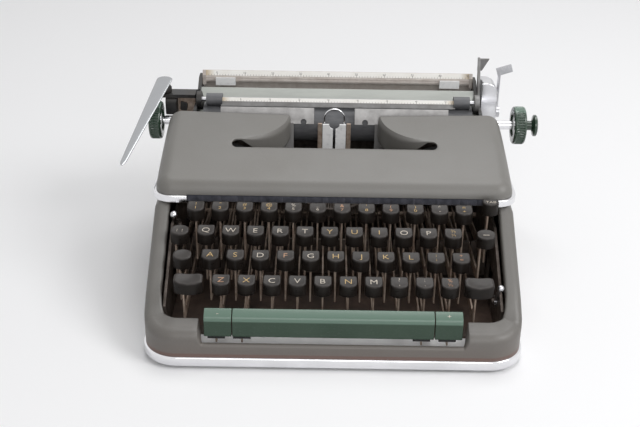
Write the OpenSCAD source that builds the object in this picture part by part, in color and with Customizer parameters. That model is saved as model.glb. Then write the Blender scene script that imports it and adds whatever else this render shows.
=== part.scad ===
// Portable typewriter with a hinged ribbon cover and a four-row keyboard.
// Millimetres, +Z up, front towards -Y. The origin lies on the floor under the middle of the overall box.

/* [Keyboard] */
// Distance between neighbouring keys in a row
key_pitch = 19.05; // [18.5:0.05:19.6]
// Step in depth from one key row to the next
row_step_y = 19.2; // [18.6:0.1:20]
// Rise from one key row to the next
row_step_z = 10.7; // [9.5:0.1:11.5]
// Depth of the front edge of the bottom key row
bottom_row_y = -124.2; // [-126:0.2:-122]
// Height of the tops of the bottom key row
bottom_row_z = 57.8; // [56:0.2:60]
// Width of a key top
key_w = 13.5; // [12:0.1:14.5]
// Depth of a key top
key_d = 12.6; // [11.5:0.1:12.8]
// Height of a key top's skirt
key_h = 10; // [8:0.2:11]
// Bulge of a key's curved front
key_bulge = 2; // [1:0.1:3]
// Thickness of the key levers
lever_t = 1.2; // [1:0.05:1.4]
// Width of the space bar
space_bar_w = 149; // [140:1:150]
// Width of the two keys beside the space bar
end_key_w = 20.3; // [18:0.1:20.5]

/* [Casing] */
// Space beside the key rows for the keys at the sides
side_key_space = 25.2; // [24.6:0.1:28]
// Width of the casing's side rails
rail_w = 12; // [10:0.2:14]
// Thickness of the casing's sheet steel
casing_wall = 1.6; // [1.2:0.1:2]
// Depth of the casing's front wall before the origin
casing_front = 149.5; // [148.5:0.5:156]
// Depth of the casing's rear wall behind the origin
casing_rear = 128; // [122:0.5:134]
// Radius of the front corners
front_corner_r = 26; // [20:0.5:28]
// Radius of the rear corners
rear_corner_r = 18; // [12:0.5:22]
// Radius of the casing's rounded outer edge
edge_r = 8; // [5:0.5:9]
// Height of the inner edge of the front shoulders
shoulder_z = 36; // [33:0.5:38]
// Fall of the shoulders towards the front
shoulder_fall = 4.5; // [3:0.5:6]
// Depth of the front shoulders
shoulder_w = 16.5; // [15:0.5:17.5]
// Width of the space bar's notch in the front wall
notch_w = 195; // [193:0.5:200]
// Depth of the edge in the notch
notch_edge_w = 4.2; // [3.6:0.1:4.8]
// Height of the front wall in the notch
notch_z = 21; // [18:0.5:22]
// Height of the side walls under the cover
deck_z = 88.2; // [86:0.2:90]
// Height of the casing behind the cover
rear_z = 78; // [70:0.5:79]
// Height of the lip inside the casing's edge
lip_h = 6; // [4:0.5:8]
// Bottom of the bright trim round the base
trim_low_z = 2.5; // [2:0.1:4]
// Top of the bright trim round the base
trim_top_z = 10.5; // [9:0.1:12]
// How far the base trim stands out from the casing
trim_out = 1.6; // [1:0.1:2.5]
// Radius of the rubber feet
foot_r = 9; // [7:0.5:11]

/* [Cover] */
// Depth of the cover's front edge
cover_front_y = -50; // [-50.4:0.1:-49]
// Depth of the cover's rear edge
cover_rear_y = 45; // [44:0.1:45.5]
// Height of the cover's painted lower edge
cover_low_z = 94.6; // [93:0.1:96]
// Height of the cover's top at its front shoulder
cover_front_z = 106.3; // [105:0.1:108]
// Height of the cover's top at its rear edge
cover_rear_z = 125; // [124:0.1:126]
// How far the rear edge runs back from the wing tips to the ends
cover_sweep = 4; // [2:0.5:5]
// Rise of the cover's top above a straight line
cover_crown = 1.8; // [0.5:0.1:2.5]
// Radius of the cover's front edge
cover_front_r = 10; // [8:0.5:11]
// Radius of the cover's side edges
cover_side_r = 14; // [10:0.5:16]
// Thickness of the cover
cover_wall = 1.6; // [1.2:0.1:1.8]
// Depth of the front edge of the cover's opening
opening_front_y = -4.5; // [-8:0.5:0]
// Half width of the opening between its round tails
opening_tail_x = 86; // [80:0.5:90]
// Half width between the wings at the rear edge
wing_gap_x = 39; // [34:0.5:44]
// Depth of the lips that droop from the wings
wing_lip_h = 23.5; // [22:0.5:25]
// How far the bright strip stands out from under the cover
cover_trim_out = 2.8; // [1:0.1:3]

/* [Carriage] */
// Offset of the carriage from the middle of the body
carriage_x = 3; // [0:0.5:4]
// Length of the platen's rubber
platen_len = 234; // [226:1:236]
// Radius of the platen
platen_r = 16; // [15.5:0.05:16.2]
// Depth of the platen's axis
platen_y = 70.4; // [70.2:0.1:72]
// Height of the platen's axis
platen_z = 108; // [107.5:0.1:109]
// Radius of the platen's shaft
shaft_r = 4; // [3.5:0.1:4.5]
// Radius of the platen knobs
knob_r = 16.6; // [15:0.1:16.8]
// Width of a platen knob
knob_w = 10.5; // [10:0.1:12]
// Room between the end plate and a knob
knob_gap = 28; // [27:0.1:29]
// Thickness of the carriage's end plates
end_plate_t = 3; // [2.5:0.1:4]
// Lift of the carriage for capitals
shift_lift = 6.5; // [6:0.1:7]
// Radius of the feed rollers
feed_roller_r = 5; // [4.5:0.1:5.2]
// Radius of the rollers on the paper bail
bail_roller_r = 5.3; // [5:0.1:5.5]
// Length of a bail roller
bail_roller_len = 14; // [10:0.5:15]
// Width of the bail's flat scale
bail_band_w = 9; // [7:0.2:9.5]
// Height of the margin scale's upper edge
margin_scale_z = 137; // [136:0.2:139]

/* [Type basket] */
// Length of a type bar from its pivot
type_bar_len = 51; // [49:0.2:52]
// Thickness of a type bar
type_bar_t = 1; // [0.8:0.05:1.1]
// Depth of the type bars' pivots
segment_y = 40; // [39:0.2:41]
// Distance of the pivots from the print line
segment_r = 50; // [48:0.2:51]
// Angle from one type bar to the next
type_bar_step = 2.4; // [2.3:0.02:2.5]
// Radius of a ribbon spool
spool_r = 22; // [18:0.5:24]

/* [Fits] */
// Radial clearance of a running fit
run_fit = 0.05; // [0.03:0.01:0.09]
// Gap between pieces that pass each other
pass_gap = 0.3; // [0.2:0.05:0.5]

/* [Hidden] */
$fn = 48;

// Colours
paint = [0.36, 0.35, 0.31];
bright = [0.82, 0.82, 0.84];
steel = [0.45, 0.43, 0.40];
dark_steel = [0.22, 0.21, 0.20];
key_black = [0.13, 0.12, 0.11];
green = [0.07, 0.20, 0.14];
rubber = [0.08, 0.08, 0.08];
cream = [0.86, 0.83, 0.72];
felt_blue = [0.10, 0.13, 0.25];

// Key rows, from the bottom row to the number row
row_counts = [10, 11, 11, 12];
row_stations = [5, 3, 2, 0];
station = key_pitch/4;
row_key_span = 11*key_pitch;
rows_offset = -3.4;
first_key_x = rows_offset - row_key_span/2;
function row_x(row, i) = first_key_x + row_stations[row]*station + i*key_pitch;
function row_y(row) = bottom_row_y + row*row_step_y;
function row_z(row) = bottom_row_z + row*row_step_z;

// Key levers turn on one rod
fulcrum_y = 40;
fulcrum_z = 34;
fulcrum_r = 2.5;
lever_h = 8;
lever_low_z = 27;
lever_step_z = 7;
post_half = 3;
post_seat = 5;

// Body widths
opening_half = row_key_span/2 + side_key_space;
casing_half = opening_half + rail_w;
frame_t = 2;
frame_in = opening_half - 3;
frame_out = frame_in + frame_t;

// Levers of the keys at the sides, counted inwards from the side plates
margin_release_x = -frame_in + 5;
shift_lock_x = -frame_in + 10;
left_shift_x = -frame_in + 14.5;
tab_x = frame_in - 7;
backspace_x = frame_in - 14;
right_shift_x = frame_in - 20.5;
space_lever_x = [first_key_x + 8.5*station, first_key_x + 36.5*station];
tab_clear_x = first_key_x + 4.5*station;
tab_set_x = first_key_x + 40.5*station;

// Carriage
carriage_half = platen_len/2 + 6;
end_in_left = carriage_x - carriage_half;
end_in_right = carriage_x + carriage_half;
end_out_left = end_in_left - end_plate_t;
end_out_right = end_in_right + end_plate_t;
rail_y = [97, 111];
rail_z = [70, 85];
truck_flange = 4;
truck_top_z = rail_z[1] + run_fit + 3.5;
truck_low_z = rail_z[1] - 5;
bed_z = truck_top_z + 0.7;
bed_t = 3;
bed_y = [90, 118];
post_r = 3;
post_x = 100;
post_y = (rail_y[0] + rail_y[1])/2;
post_top_z = bed_z + bed_t + shift_lift + 8;

// Feed rollers, paper bail and margin rod
feed_angle = 40;
feed_reach = platen_r + feed_roller_r + pass_gap;
feed_y = platen_y + feed_reach*sin(feed_angle);
feed_z = platen_z - feed_reach*cos(feed_angle);
pin_r = 2;
bail_angle = 82;
bail_reach = platen_r + bail_roller_r + pass_gap;
bail_y = platen_y - bail_reach*cos(bail_angle);
bail_z = platen_z + bail_reach*sin(bail_angle);
bail_pivot_y = platen_y + 13.6;
bail_pivot_z = platen_z + 9;
bail_arm_t = 4.5;
bail_arm_half = 3;
bail_eye_r = 7;
bail_band_half = platen_len/2 - 1.5 - bail_roller_len - 1.5;
margin_y = 121;
margin_rod_r = 2.5;
margin_rod_z = margin_scale_z - 9;

// Cover hinge
hinge_y = cover_rear_y - 3;
hinge_z = cover_rear_z - 5.7;
hinge_pin_r = 1.8;
hinge_eye_r = 3;

// Print line and type basket
print_z = platen_z;
segment_t = 8;
bar_count = 44;
bar_centre = 22;
cross_y = [segment_y + segment_t/2, segment_y + segment_t/2 + 5.5];
cross_z = [46, 54];

// Turns a profile drawn in depth and height into a solid across the width
module across(x0, x1) {
    translate([x0, 0, 0]) rotate([90, 0, 90]) linear_extrude(x1 - x0) children();
}

module box(x, y, z) {
    translate([x[0], y[0], z[0]]) cube([x[1] - x[0], y[1] - y[0], z[1] - z[0]]);
}

// Round bar along X
module bar_x(x0, x1, y, z, r) {
    translate([x0, y, z]) rotate([0, 90, 0]) cylinder(h = x1 - x0, r = r);
}

function arc(cx, cy, r, a0, a1, n) =
    [for (i = [0:n]) [cx + r*cos(a0 + (a1 - a0)*i/n), cy + r*sin(a0 + (a1 - a0)*i/n)]];

// Plan outline of the body, grown outwards, anticlockwise from the right rear
function plan_outline(grow) =
    let (w = casing_half + grow, f = -casing_front - grow, b = casing_rear + grow)
    let (rf = front_corner_r + grow, rr = rear_corner_r + grow)
    concat(arc(w - rr, b - rr, rr, 0, 90, 6), arc(-w + rr, b - rr, rr, 90, 180, 6),
        arc(-w + rf, f + rf, rf, 180, 270, 8), arc(w - rf, f + rf, rf, 270, 360, 8));

module plan_ring(outer, inner, z0, z1) {
    translate([0, 0, z0]) linear_extrude(z1 - z0) difference() {
        polygon(plan_outline(outer));
        polygon(plan_outline(inner));
    }
}

// Casing: one edge profile carried round the plan outline, with a height for every station
rail_front_y = -casing_front + shoulder_w;
blend_y = [cover_rear_y + 4, cover_rear_y + 9];
notch_blend = 4;
function ramp(v, a, b) = min(1, max(0, (v - a)/(b - a)));
function smooth(t) = t*t*(3 - 2*t);
function side_z(y) = y > blend_y[0]
    ? deck_z + (rear_z - deck_z)*smooth(ramp(y, blend_y[0], blend_y[1]))
    : shoulder_z + (deck_z - shoulder_z)*ramp(y, rail_front_y, cover_front_y);
function notch_share(x, y) =
    y < rail_front_y ? 1 - smooth(ramp(abs(x), notch_w/2 - 1, notch_w/2 - 1 + notch_blend)) : 0;
function front_share(y) = ramp(y, rail_front_y + 20, -casing_front + 5);
function edge_in_z(x, y) = let (n = notch_share(x, y)) side_z(y)*(1 - n) + notch_z*n;
function edge_out_z(x, y) = edge_in_z(x, y) - shoulder_fall*front_share(y)*(1 - notch_share(x, y));
function edge_width(x, y) =
    let (f = front_share(y), n = notch_share(x, y))
    (rail_w*(1 - f) + shoulder_w*f)*(1 - n) + notch_edge_w*n;
// Profile of the edge: distance in from the wall, and height
function edge_profile(x, y) =
    let (zi = edge_in_z(x, y), zo = edge_out_z(x, y), w = edge_width(x, y), t = casing_wall)
    let (r = min(edge_r, w*0.55), q = min(2.2, w*0.25), slope = (zi - zo)/(w - r))
    concat([[0, trim_top_z]], [for (a = [180:-18:90]) [r + r*cos(a), zo - r + r*sin(a)]],
        [[w - q, zi - q*slope], [w - q*0.3, zi - q*0.3], [w, zi - q], [w, zi - lip_h], [w - t, zi - lip_h],
        [w - t, zi - q], [w - q - t*0.3, zi - t - q*slope]],
        [for (a = [90:18:180]) [r + (r - t)*cos(a), zo - r + (r - t)*sin(a)]], [[t, trim_top_z]]);
// Stations: place on the outline and direction inwards
function side_stations(s, ys) = [for (y = ys) [s*casing_half, y, -s, 0]];
function corner_stations(cx, cy, r, a0, a1, n) =
    [for (i = [1:n - 1]) let (a = a0 + (a1 - a0)*i/n) [cx + r*cos(a), cy + r*sin(a), -cos(a), -sin(a)]];
front_xs = [for (t = [0:0.2:1]) notch_w/2 - 1 + notch_blend*t];
front_flat = casing_half - front_corner_r;
front_list = concat([front_flat], [for (i = [5:-1:0]) front_xs[i]], [notch_w/6, -notch_w/6],
    [for (x = front_xs) -x], [-front_flat]);
rear_side_y = casing_rear - rear_corner_r;
front_side_y = -casing_front + front_corner_r;
side_list = concat([rear_side_y, blend_y[1]], [for (t = [0.75, 0.5, 0.25]) blend_y[0] + 5*t],
    [blend_y[0], cover_front_y + 0.5, cover_front_y, (cover_front_y + rail_front_y)/2,
    rail_front_y + 20, front_side_y]);
stations = concat(
    side_stations(-1, side_list),
    corner_stations(-front_flat, front_side_y, front_corner_r, 180, 270, 9),
    [for (i = [len(front_list) - 1:-1:0]) [front_list[i], -casing_front, 0, 1]],
    corner_stations(front_flat, front_side_y, front_corner_r, 270, 360, 9),
    side_stations(1, [for (i = [len(side_list) - 1:-1:0]) side_list[i]]),
    corner_stations(casing_half - rear_corner_r, rear_side_y, rear_corner_r, 0, 90, 6),
    [for (s = [1, 0, -1]) [s*(casing_half - rear_corner_r), casing_rear, 0, -1]],
    corner_stations(-casing_half + rear_corner_r, rear_side_y, rear_corner_r, 90, 180, 6));

module lower_casing() {
    rings = [for (s = stations) [for (p = edge_profile(s[0], s[1]))
        [s[0] + s[2]*p[0], s[1] + s[3]*p[0], p[1]]]];
    m = len(rings[0]);
    n = len(rings);
    points = [for (ring = rings, p = ring) p];
    faces = [for (i = [0:n - 1], j = [0:m - 1])
        let (a = i*m + j, b = i*m + (j + 1)%m, c = ((i + 1)%n)*m + (j + 1)%m, d = ((i + 1)%n)*m + j)
        each [[a, b, c], [a, c, d]]];
    color(paint) polyhedron(points, faces);
}

// Bright band round the base, with the bottom plate that the feet hold on to
web_z = [5, 6.6];
foot_in = 20;
module at_feet() {
    for (sx = [-1, 1]) {
        translate([sx*(casing_half - foot_in), -casing_front + foot_in, 0]) children();
        translate([sx*(casing_half - foot_in), casing_rear - foot_in, 0]) children();
    }
}
module base_trim() {
    color(bright) union() {
        plan_ring(trim_out, -casing_wall, trim_low_z, trim_top_z);
        translate([0, 0, web_z[0]]) linear_extrude(web_z[1] - web_z[0]) polygon(plan_outline(0));
    }
}

module rubber_feet() {
    color(rubber) at_feet() {
        cylinder(h = web_z[0], r1 = foot_r - 1.5, r2 = foot_r);
    }
}

// Two side plates joined by cross bars, with the cover's hinge pins riveted in
selector_pivot = [-38, 62];
touch_pivot = [-96, 30];
drum_y = 80;
drum_z = 46;
drum_r = 18;
plate_front_y = -118;
plate_rear_y = casing_rear - rail_w - 1;
plate_top_z = deck_z - lip_h - 10;
plate_rear_z = rear_z + 0.5;
plate_step_y = casing_rear - rear_corner_r - 1;
plate_step_z = rear_z - lip_h - 1;
window_ys = [-70, -36];
window_z = 18;
window_w = 28;
window_h = 20;
front_tie_y = [-114, -104];
rear_tie_y = [60, 66];
pin_len = 7;
module side_plate_outline() {
    difference() {
        polygon([[plate_front_y, web_z[1]], [plate_front_y, 34], [cover_front_y - 4, plate_top_z],
            [hinge_y - 14, plate_top_z], [hinge_y - hinge_eye_r, hinge_z],
            [hinge_y + hinge_eye_r, hinge_z], [hinge_y + hinge_eye_r, plate_rear_z],
            [plate_step_y, plate_rear_z], [plate_step_y, plate_step_z], [plate_rear_y, plate_step_z],
            [plate_rear_y, web_z[1]]]);
        for (y = window_ys) translate([y, window_z]) square([window_w, window_h]);
    }
}
module main_frame() {
    color(steel) union() {
        for (s = [-1, 1]) {
            x0 = s > 0 ? frame_in : -frame_out;
            across(x0, x0 + frame_t) union() {
                side_plate_outline();
                translate([hinge_y, hinge_z]) circle(r = hinge_eye_r);
            }
            pin_x = s > 0 ? frame_out : -frame_out - pin_len;
            bar_x(pin_x, pin_x + pin_len, hinge_y, hinge_z, hinge_pin_r);
        }
        box([-frame_in, frame_in], front_tie_y, [web_z[1], web_z[1] + 2]);
        box([-frame_in, frame_in], rear_tie_y, [web_z[1], web_z[1] + 8]);
        box([-frame_in, frame_in], cross_y, cross_z);
        bar_x(-frame_in, -frame_in + 4, selector_pivot[0], selector_pivot[1], pin_r);
        bar_x(frame_in - 4, frame_in, touch_pivot[0], touch_pivot[1], pin_r);
        bar_x(frame_in - 20, frame_in, drum_y, drum_z, pin_r);
    }
}

// Slotted plate that keeps the key levers apart
comb_y = [-31, -29];
comb_z = [14, 46];
slot_w = lever_t + 0.6;
slot_low_z = 18;
lever_stations = concat([for (row = [0:3], i = [0:row_counts[row] - 1]) row_x(row, i)],
    space_lever_x, [tab_clear_x, tab_set_x, margin_release_x, shift_lock_x, left_shift_x,
    tab_x, backspace_x, right_shift_x]);
module lever_comb() {
    color(steel) difference() {
        box([-frame_in, frame_in], comb_y, comb_z);
        for (x = lever_stations) box([x - slot_w/2, x + slot_w/2], [comb_y[0] - 1, comb_y[1] + 1],
            [slot_low_z, comb_z[1] + 1]);
    }
}

module fulcrum_rod() {
    color(bright) bar_x(-frame_in, frame_in, fulcrum_y, fulcrum_z, fulcrum_r);
}

// Type basket: everything in it is turned about the print line
module at_bar(i) {
    translate([0, 0, print_z]) rotate([0, (i - bar_centre)*type_bar_step, 0])
        translate([0, 0, -print_z]) children();
}
pivot_z = print_z - segment_r;
slug_h = 5.5;
slug_w = 1.7;
slug_d = 3;
bar_pin_r = 0.9;
module type_bar_at_rest() {
    tip_y = segment_y - type_bar_len;
    across(-type_bar_t/2, type_bar_t/2) difference() {
        polygon([[segment_y + 3, pivot_z - 3], [segment_y + 3, pivot_z + 3], [segment_y - 3, pivot_z + 3],
            [segment_y - 9, pivot_z + 1.6], [tip_y, pivot_z + 1.2], [tip_y, pivot_z - 1.6],
            [segment_y - 6, pivot_z - 2.2]]);
        translate([segment_y, pivot_z]) circle(r = bar_pin_r + run_fit);
    }
    box([-slug_w/2, slug_w/2], [tip_y, tip_y + slug_d], [pivot_z - 1, pivot_z + slug_h]);
}
segment_wrap = 60;
module segment_sector(r0, r1, y0, y1) {
    translate([0, y1, print_z]) rotate([90, 0, 0]) intersection() {
        difference() {
            cylinder(h = y1 - y0, r = r1);
            translate([0, 0, -1]) cylinder(h = y1 - y0 + 2, r = r0);
        }
        linear_extrude(y1 - y0) polygon([[0, 0], [-3*r1*sin(segment_wrap), -3*r1*cos(segment_wrap)],
            [3*r1*sin(segment_wrap), -3*r1*cos(segment_wrap)]]);
    }
}
module type_segment() {
    slot = type_bar_t/2 + 0.1;
    color(steel) union() {
        difference() {
            segment_sector(segment_r - 5, segment_r + 12, segment_y - segment_t/2, segment_y + segment_t/2);
            for (i = [0:bar_count - 1]) at_bar(i) box([-slot, slot],
                [segment_y - segment_t, segment_y + segment_t], [pivot_z - 5, pivot_z + 10]);
        }
        for (i = [0:bar_count - 1]) at_bar(i) bar_x(-slot - 0.3, slot + 0.3, segment_y, pivot_z, bar_pin_r);
    }
}
module type_bars() {
    color(bright) for (i = [0:bar_count - 1]) if (i != bar_centre) at_bar(i) union() type_bar_at_rest();
}
module centre_type_bar() {
    color(bright) at_bar(bar_centre) union() type_bar_at_rest();
}
// Padded arc on which the type bars lie, held by two rods from the segment
rest_y = [-1, 7];
rest_rod_r = 1.8;
rest_rod_angle = segment_wrap - 3;
module type_rest() {
    color(rubber) union() {
        segment_sector(segment_r + 1.6 + pass_gap, segment_r + 6, rest_y[0], rest_y[1]);
        for (s = [-1, 1]) translate([s*(segment_r + 4)*sin(rest_rod_angle), segment_y - segment_t/2,
            print_z - (segment_r + 4)*cos(rest_rod_angle)]) rotate([90, 0, 0])
            cylinder(h = segment_y - segment_t/2 - rest_y[0], r = rest_rod_r);
    }
}

// Forked plate that guides each type to the print point
guide_y = [cross_y[0] + 1, cross_y[0] + 3];
guide_half = 10;
guide_slot = slug_w/2 + pass_gap;
guide_slot_h = 42;
guide_top_z = print_z + 8.3;
vibrator_x = 8.5;
vibrator_r = 0.7;
vibrator_y = guide_y[1] + 1.4;
module type_guide() {
    color(bright) difference() {
        union() {
            box([-6, 6], guide_y, [cross_z[1], guide_top_z - 24]);
            box([-guide_half, guide_half], guide_y, [guide_top_z - 25, guide_top_z]);
            for (s = [-1, 1]) box([s*vibrator_x - 1.5, s*vibrator_x + 1.5], [guide_y[1], vibrator_y + 1.5],
                [guide_top_z - 20, guide_top_z - 17]);
        }
        box([-guide_slot, guide_slot], [guide_y[0] - 1, guide_y[1] + 1],
            [guide_top_z - guide_slot_h, guide_top_z + 1]);
        translate([0, guide_y[0] - 1, guide_top_z]) rotate([-90, 0, 0]) cylinder(h = 4, r = 4.5);
        for (s = [-1, 1]) translate([s*vibrator_x, vibrator_y, guide_top_z - 30])
            cylinder(h = 20, r = vibrator_r + run_fit);
    }
}
// Wire arch that lifts the ribbon in front of each type
vibrator_low_z = guide_top_z - 26;
vibrator_top_z = guide_top_z + 4.5;
module ribbon_vibrator() {
    color(bright) union() {
        for (s = [-1, 1]) translate([s*vibrator_x, vibrator_y, vibrator_low_z])
            cylinder(h = vibrator_top_z - vibrator_low_z, r = vibrator_r);
        translate([0, vibrator_y, vibrator_top_z]) rotate([90, 0, 0]) rotate_extrude(angle = 180)
            translate([vibrator_x, 0]) circle(r = vibrator_r);
    }
}

// Thin plates that hold the paper against the platen on both sides of the print point
card_in_x = 17.5;
card_out_x = bail_band_half - 2;
card_t = 0.8;
card_lean = 4;
card_rise = 13;
card_low = [cross_y[1] + 1, print_z + 6.5];
card_top = [card_low[0] + card_lean, card_low[1] + card_rise];
card_arm_x = 40;
card_arm_half = 5;
module card_guides() {
    color(bright) for (s = [-1, 1]) {
        x0 = s > 0 ? card_in_x : -card_out_x;
        union() {
            difference() {
                across(x0, x0 + card_out_x - card_in_x) polygon([card_low, card_top,
                    [card_top[0] + card_t, card_top[1]], [card_low[0] + card_t, card_low[1]]]);
                translate([s*(card_in_x + 9), card_low[0] - 2, print_z + 8]) rotate([-90, 0, 0])
                    cylinder(h = 12, r = 2.6);
            }
            box([s*card_arm_x - card_arm_half, s*card_arm_x + card_arm_half], [cross_y[1], cross_y[1] + 1.2],
                [cross_z[0], card_low[1] + 1]);
        }
    }
}

module carriage_rail() {
    color(steel) box([-frame_in, frame_in], rail_y, rail_z);
}

// Ribbon spools turn on posts in shallow cups that reach in from the side plates
spool_in = 35;
spool_x = frame_in - spool_in;
spool_y = 12;
cup_z = [88, 89.5];
spool_h = 13;
spool_core_r = 9;
module spool_cups() {
    color(steel) for (s = [-1, 1]) union() {
        difference() {
            translate([s*spool_x, spool_y, cup_z[0]]) cylinder(h = spool_h*0.6, r = spool_r + 3);
            translate([s*spool_x, spool_y, cup_z[1]]) cylinder(h = spool_h, r = spool_r + 2);
        }
        translate([s*spool_x, spool_y, cup_z[0]]) cylinder(h = spool_h + 3, r = pin_r);
        x0 = s > 0 ? spool_x : -frame_in;
        box([x0, x0 + frame_in - spool_x], [spool_y - 8, spool_y + 8], [cup_z[0] - 1.5, cup_z[0]]);
        x1 = s > 0 ? frame_in - 1.5 : -frame_in;
        box([x1, x1 + 1.5], [spool_y - 8, spool_y + 8], [deck_z - lip_h - 20, cup_z[0]]);
    }
}
module ribbon_spool(s) {
    z0 = cup_z[1] + pass_gap;
    color(dark_steel) translate([s*spool_x, spool_y, z0]) rotate_extrude() polygon([
        [pin_r + run_fit, 0], [spool_r, 0], [spool_r, 1], [spool_core_r, 1], [spool_core_r, spool_h - 1],
        [spool_r, spool_h - 1], [spool_r, spool_h], [pin_r + run_fit, spool_h]]);
}
module left_spool() { ribbon_spool(-1); }
module right_spool() { ribbon_spool(1); }

// Warning bell on a post at the left side plate
bell_r = 17;
bell_t = 1.4;
bell_y = 84;
bell_z = 44;
bell_rim = 20;
module bell() {
    color(bright) translate([-frame_in, bell_y, bell_z]) rotate([0, 90, 0]) union() {
        cylinder(h = bell_rim - 6, r = 3);
        translate([0, 0, bell_rim]) rotate([180, 0, 0]) rotate_extrude() difference() {
            intersection() {
                circle(r = bell_r);
                square(bell_r);
            }
            circle(r = bell_r - bell_t);
        }
    }
}

// Drum with the mainspring that draws the carriage along
module mainspring_drum() {
    color(steel) translate([frame_in - 18, drum_y, drum_z]) rotate([0, 90, 0]) rotate_extrude() polygon([
        [pin_r + run_fit, 0], [drum_r, 0], [drum_r, 3], [drum_r - 1.5, 4], [drum_r - 1.5, 12], [drum_r, 13],
        [drum_r, 16], [pin_r + run_fit, 16]]);
}

// Cover: a crowned top over rounded front and side edges
function cover_top_z(y) =
    let (t = (y - cover_front_y - cover_front_r)/(cover_rear_y - cover_front_y - cover_front_r))
    cover_front_z + (cover_rear_z - cover_front_z)*t + cover_crown*4*t*(1 - t);
cover_steps = 10;
cover_slope = atan2(cover_rear_z - cover_front_z, cover_rear_y - cover_front_y - cover_front_r);
// Side view of the cover, with the rounded front edge
module cover_profile(inset, low_z) {
    y1 = cover_front_y + cover_front_r;
    r = cover_front_r - inset;
    y2 = cover_rear_y + cover_sweep;
    polygon(concat([[y2 + inset, low_z], [y1 - r, low_z]],
        [for (a = [180:-15:105]) [y1 + r*cos(a), cover_front_z - cover_front_r + r*sin(a)]],
        [for (i = [0:cover_steps]) let (y = y1 + (y2 - y1)*i/cover_steps) [y, cover_top_z(y) - inset]],
        [[y2 + inset, cover_top_z(y2) - inset]]));
}
// Cross section of the cover, square to its slope, with the rounded side edges
module cover_section(inset) {
    w = casing_half - inset;
    r = cover_side_r - inset;
    top = cover_crown - inset;
    union() {
        translate([-w + r, -80]) square([2*w - 2*r, 100]);
        translate([-w, -80]) square([2*w, 80 + top - r]);
        for (s = [-1, 1]) translate([s*(w - r), top - r]) circle(r = r);
    }
}
module cover_body(inset, low_z) {
    intersection() {
        across(-casing_half + inset, casing_half - inset) cover_profile(inset, low_z);
        translate([0, cover_front_y + cover_front_r, cover_front_z]) rotate([90 + cover_slope, 0, 0])
            translate([0, 0, -110]) linear_extrude(160) cover_section(inset);
        cover_plan(-inset, low_z - 1, cover_rear_z + 10);
    }
}
// Plan of the cover with rounded front corners and a rear edge that runs back to the ends
module cover_plan(grow, z0, z1) {
    w = casing_half + grow;
    f = cover_front_y - grow;
    r = cover_side_r + grow;
    back = cover_rear_y + max(0, -grow);
    translate([0, 0, z0]) linear_extrude(z1 - z0) polygon(concat([[w, back + cover_sweep],
        [wing_gap_x, back], [-wing_gap_x, back], [-w, back + cover_sweep]],
        arc(-w + r, f + r, r, 180, 270, 8), arc(w - r, f + r, r, 270, 360, 8)));
}
// Opening over the type basket: two round tails, and wings that run back to the rear edge
tail_h = 13.5;
tail_y = opening_front_y + tail_h;
tail_round = 6;
wing_root_x = opening_tail_x - tail_round;
function wing_curve(shift) = [for (t = [0:7.5:90])
    [wing_gap_x + (wing_root_x - wing_gap_x)*(1 - sin(t)) + shift[0],
    tail_y + (cover_rear_y - tail_y)*(1 - cos(t)) + shift[1]]];
function tail_curve() = [for (t = [-90:15:75])
    [wing_root_x + tail_round*cos(t), opening_front_y + tail_h/2 + tail_h/2*sin(t)]];
function flip(points) = [for (i = [len(points) - 1:-1:0]) [-points[i][0], points[i][1]]];
function backwards(points) = [for (i = [len(points) - 1:-1:0]) points[i]];
opening_side = concat(tail_curve(), wing_curve([0, 0]), [[wing_gap_x, cover_rear_y + 20]]);
// A lip hangs from each wing: deepest along its middle, rounded at the tip and fading out at the tail
lip_low_z = cover_rear_z - 2 - wing_lip_h;
lip_bend = 16;
lip_tip_h = 13.5;
lip_rise = 5;
lip_lean = [cover_wall*0.7, cover_wall*0.9];
lip_tip_x = wing_gap_x - 2;
function lip_edge() = concat([for (t = [0:15:90])
    [lip_tip_x + lip_bend*(1 - cos(t)), lip_low_z + lip_tip_h*(1 - sin(t))]],
    [[lip_tip_x + lip_bend + lip_rise, lip_low_z + 2], [wing_root_x, cover_rear_z - 5]]);
module wing_lip() {
    intersection() {
        translate([0, 0, lip_low_z - 1]) linear_extrude(cover_rear_z - lip_low_z + 10)
            polygon(concat(wing_curve([0, 0]), backwards(wing_curve(lip_lean))));
        translate([0, cover_rear_y + 5, 0]) rotate([90, 0, 0]) linear_extrude(cover_rear_y - tail_y + 10)
            polygon(concat(lip_edge(), [[wing_root_x + 4, cover_rear_z + 5],
                [lip_tip_x, cover_rear_z + 5]]));
    }
}
ear_x = [frame_out + 2, frame_out + 5];
ear_half = (ear_x[1] - ear_x[0])/2;
module cover_ear(s) {
    x0 = s > 0 ? ear_x[0] : -ear_x[1];
    across(x0, x0 + ear_x[1] - ear_x[0]) union() {
        translate([hinge_y, hinge_z]) circle(r = hinge_eye_r + 0.4);
        translate([hinge_y - hinge_eye_r, hinge_z])
            square([2*hinge_eye_r - 0.6, cover_rear_z - 1.5 - hinge_z]);
    }
}
module ribbon_cover() {
    color(paint) difference() {
        union() {
            difference() {
                cover_body(0, cover_low_z);
                cover_body(cover_wall, cover_low_z - 5);
                translate([0, 0, cover_low_z - 20]) linear_extrude(80)
                    polygon(concat(opening_side, flip(opening_side)));
            }
            intersection() {
                cover_body(0, cover_low_z);
                union() {
                    wing_lip();
                    mirror([1, 0, 0]) wing_lip();
                    cover_ear(-1);
                    cover_ear(1);
                }
            }
        }
        for (s = [-1, 1]) translate([s*(ear_x[0] + ear_x[1])/2, 0, 0])
            bar_x(-ear_half - 1, ear_half + 1, hinge_y, hinge_z, hinge_pin_r + run_fit);
    }
}
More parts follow.
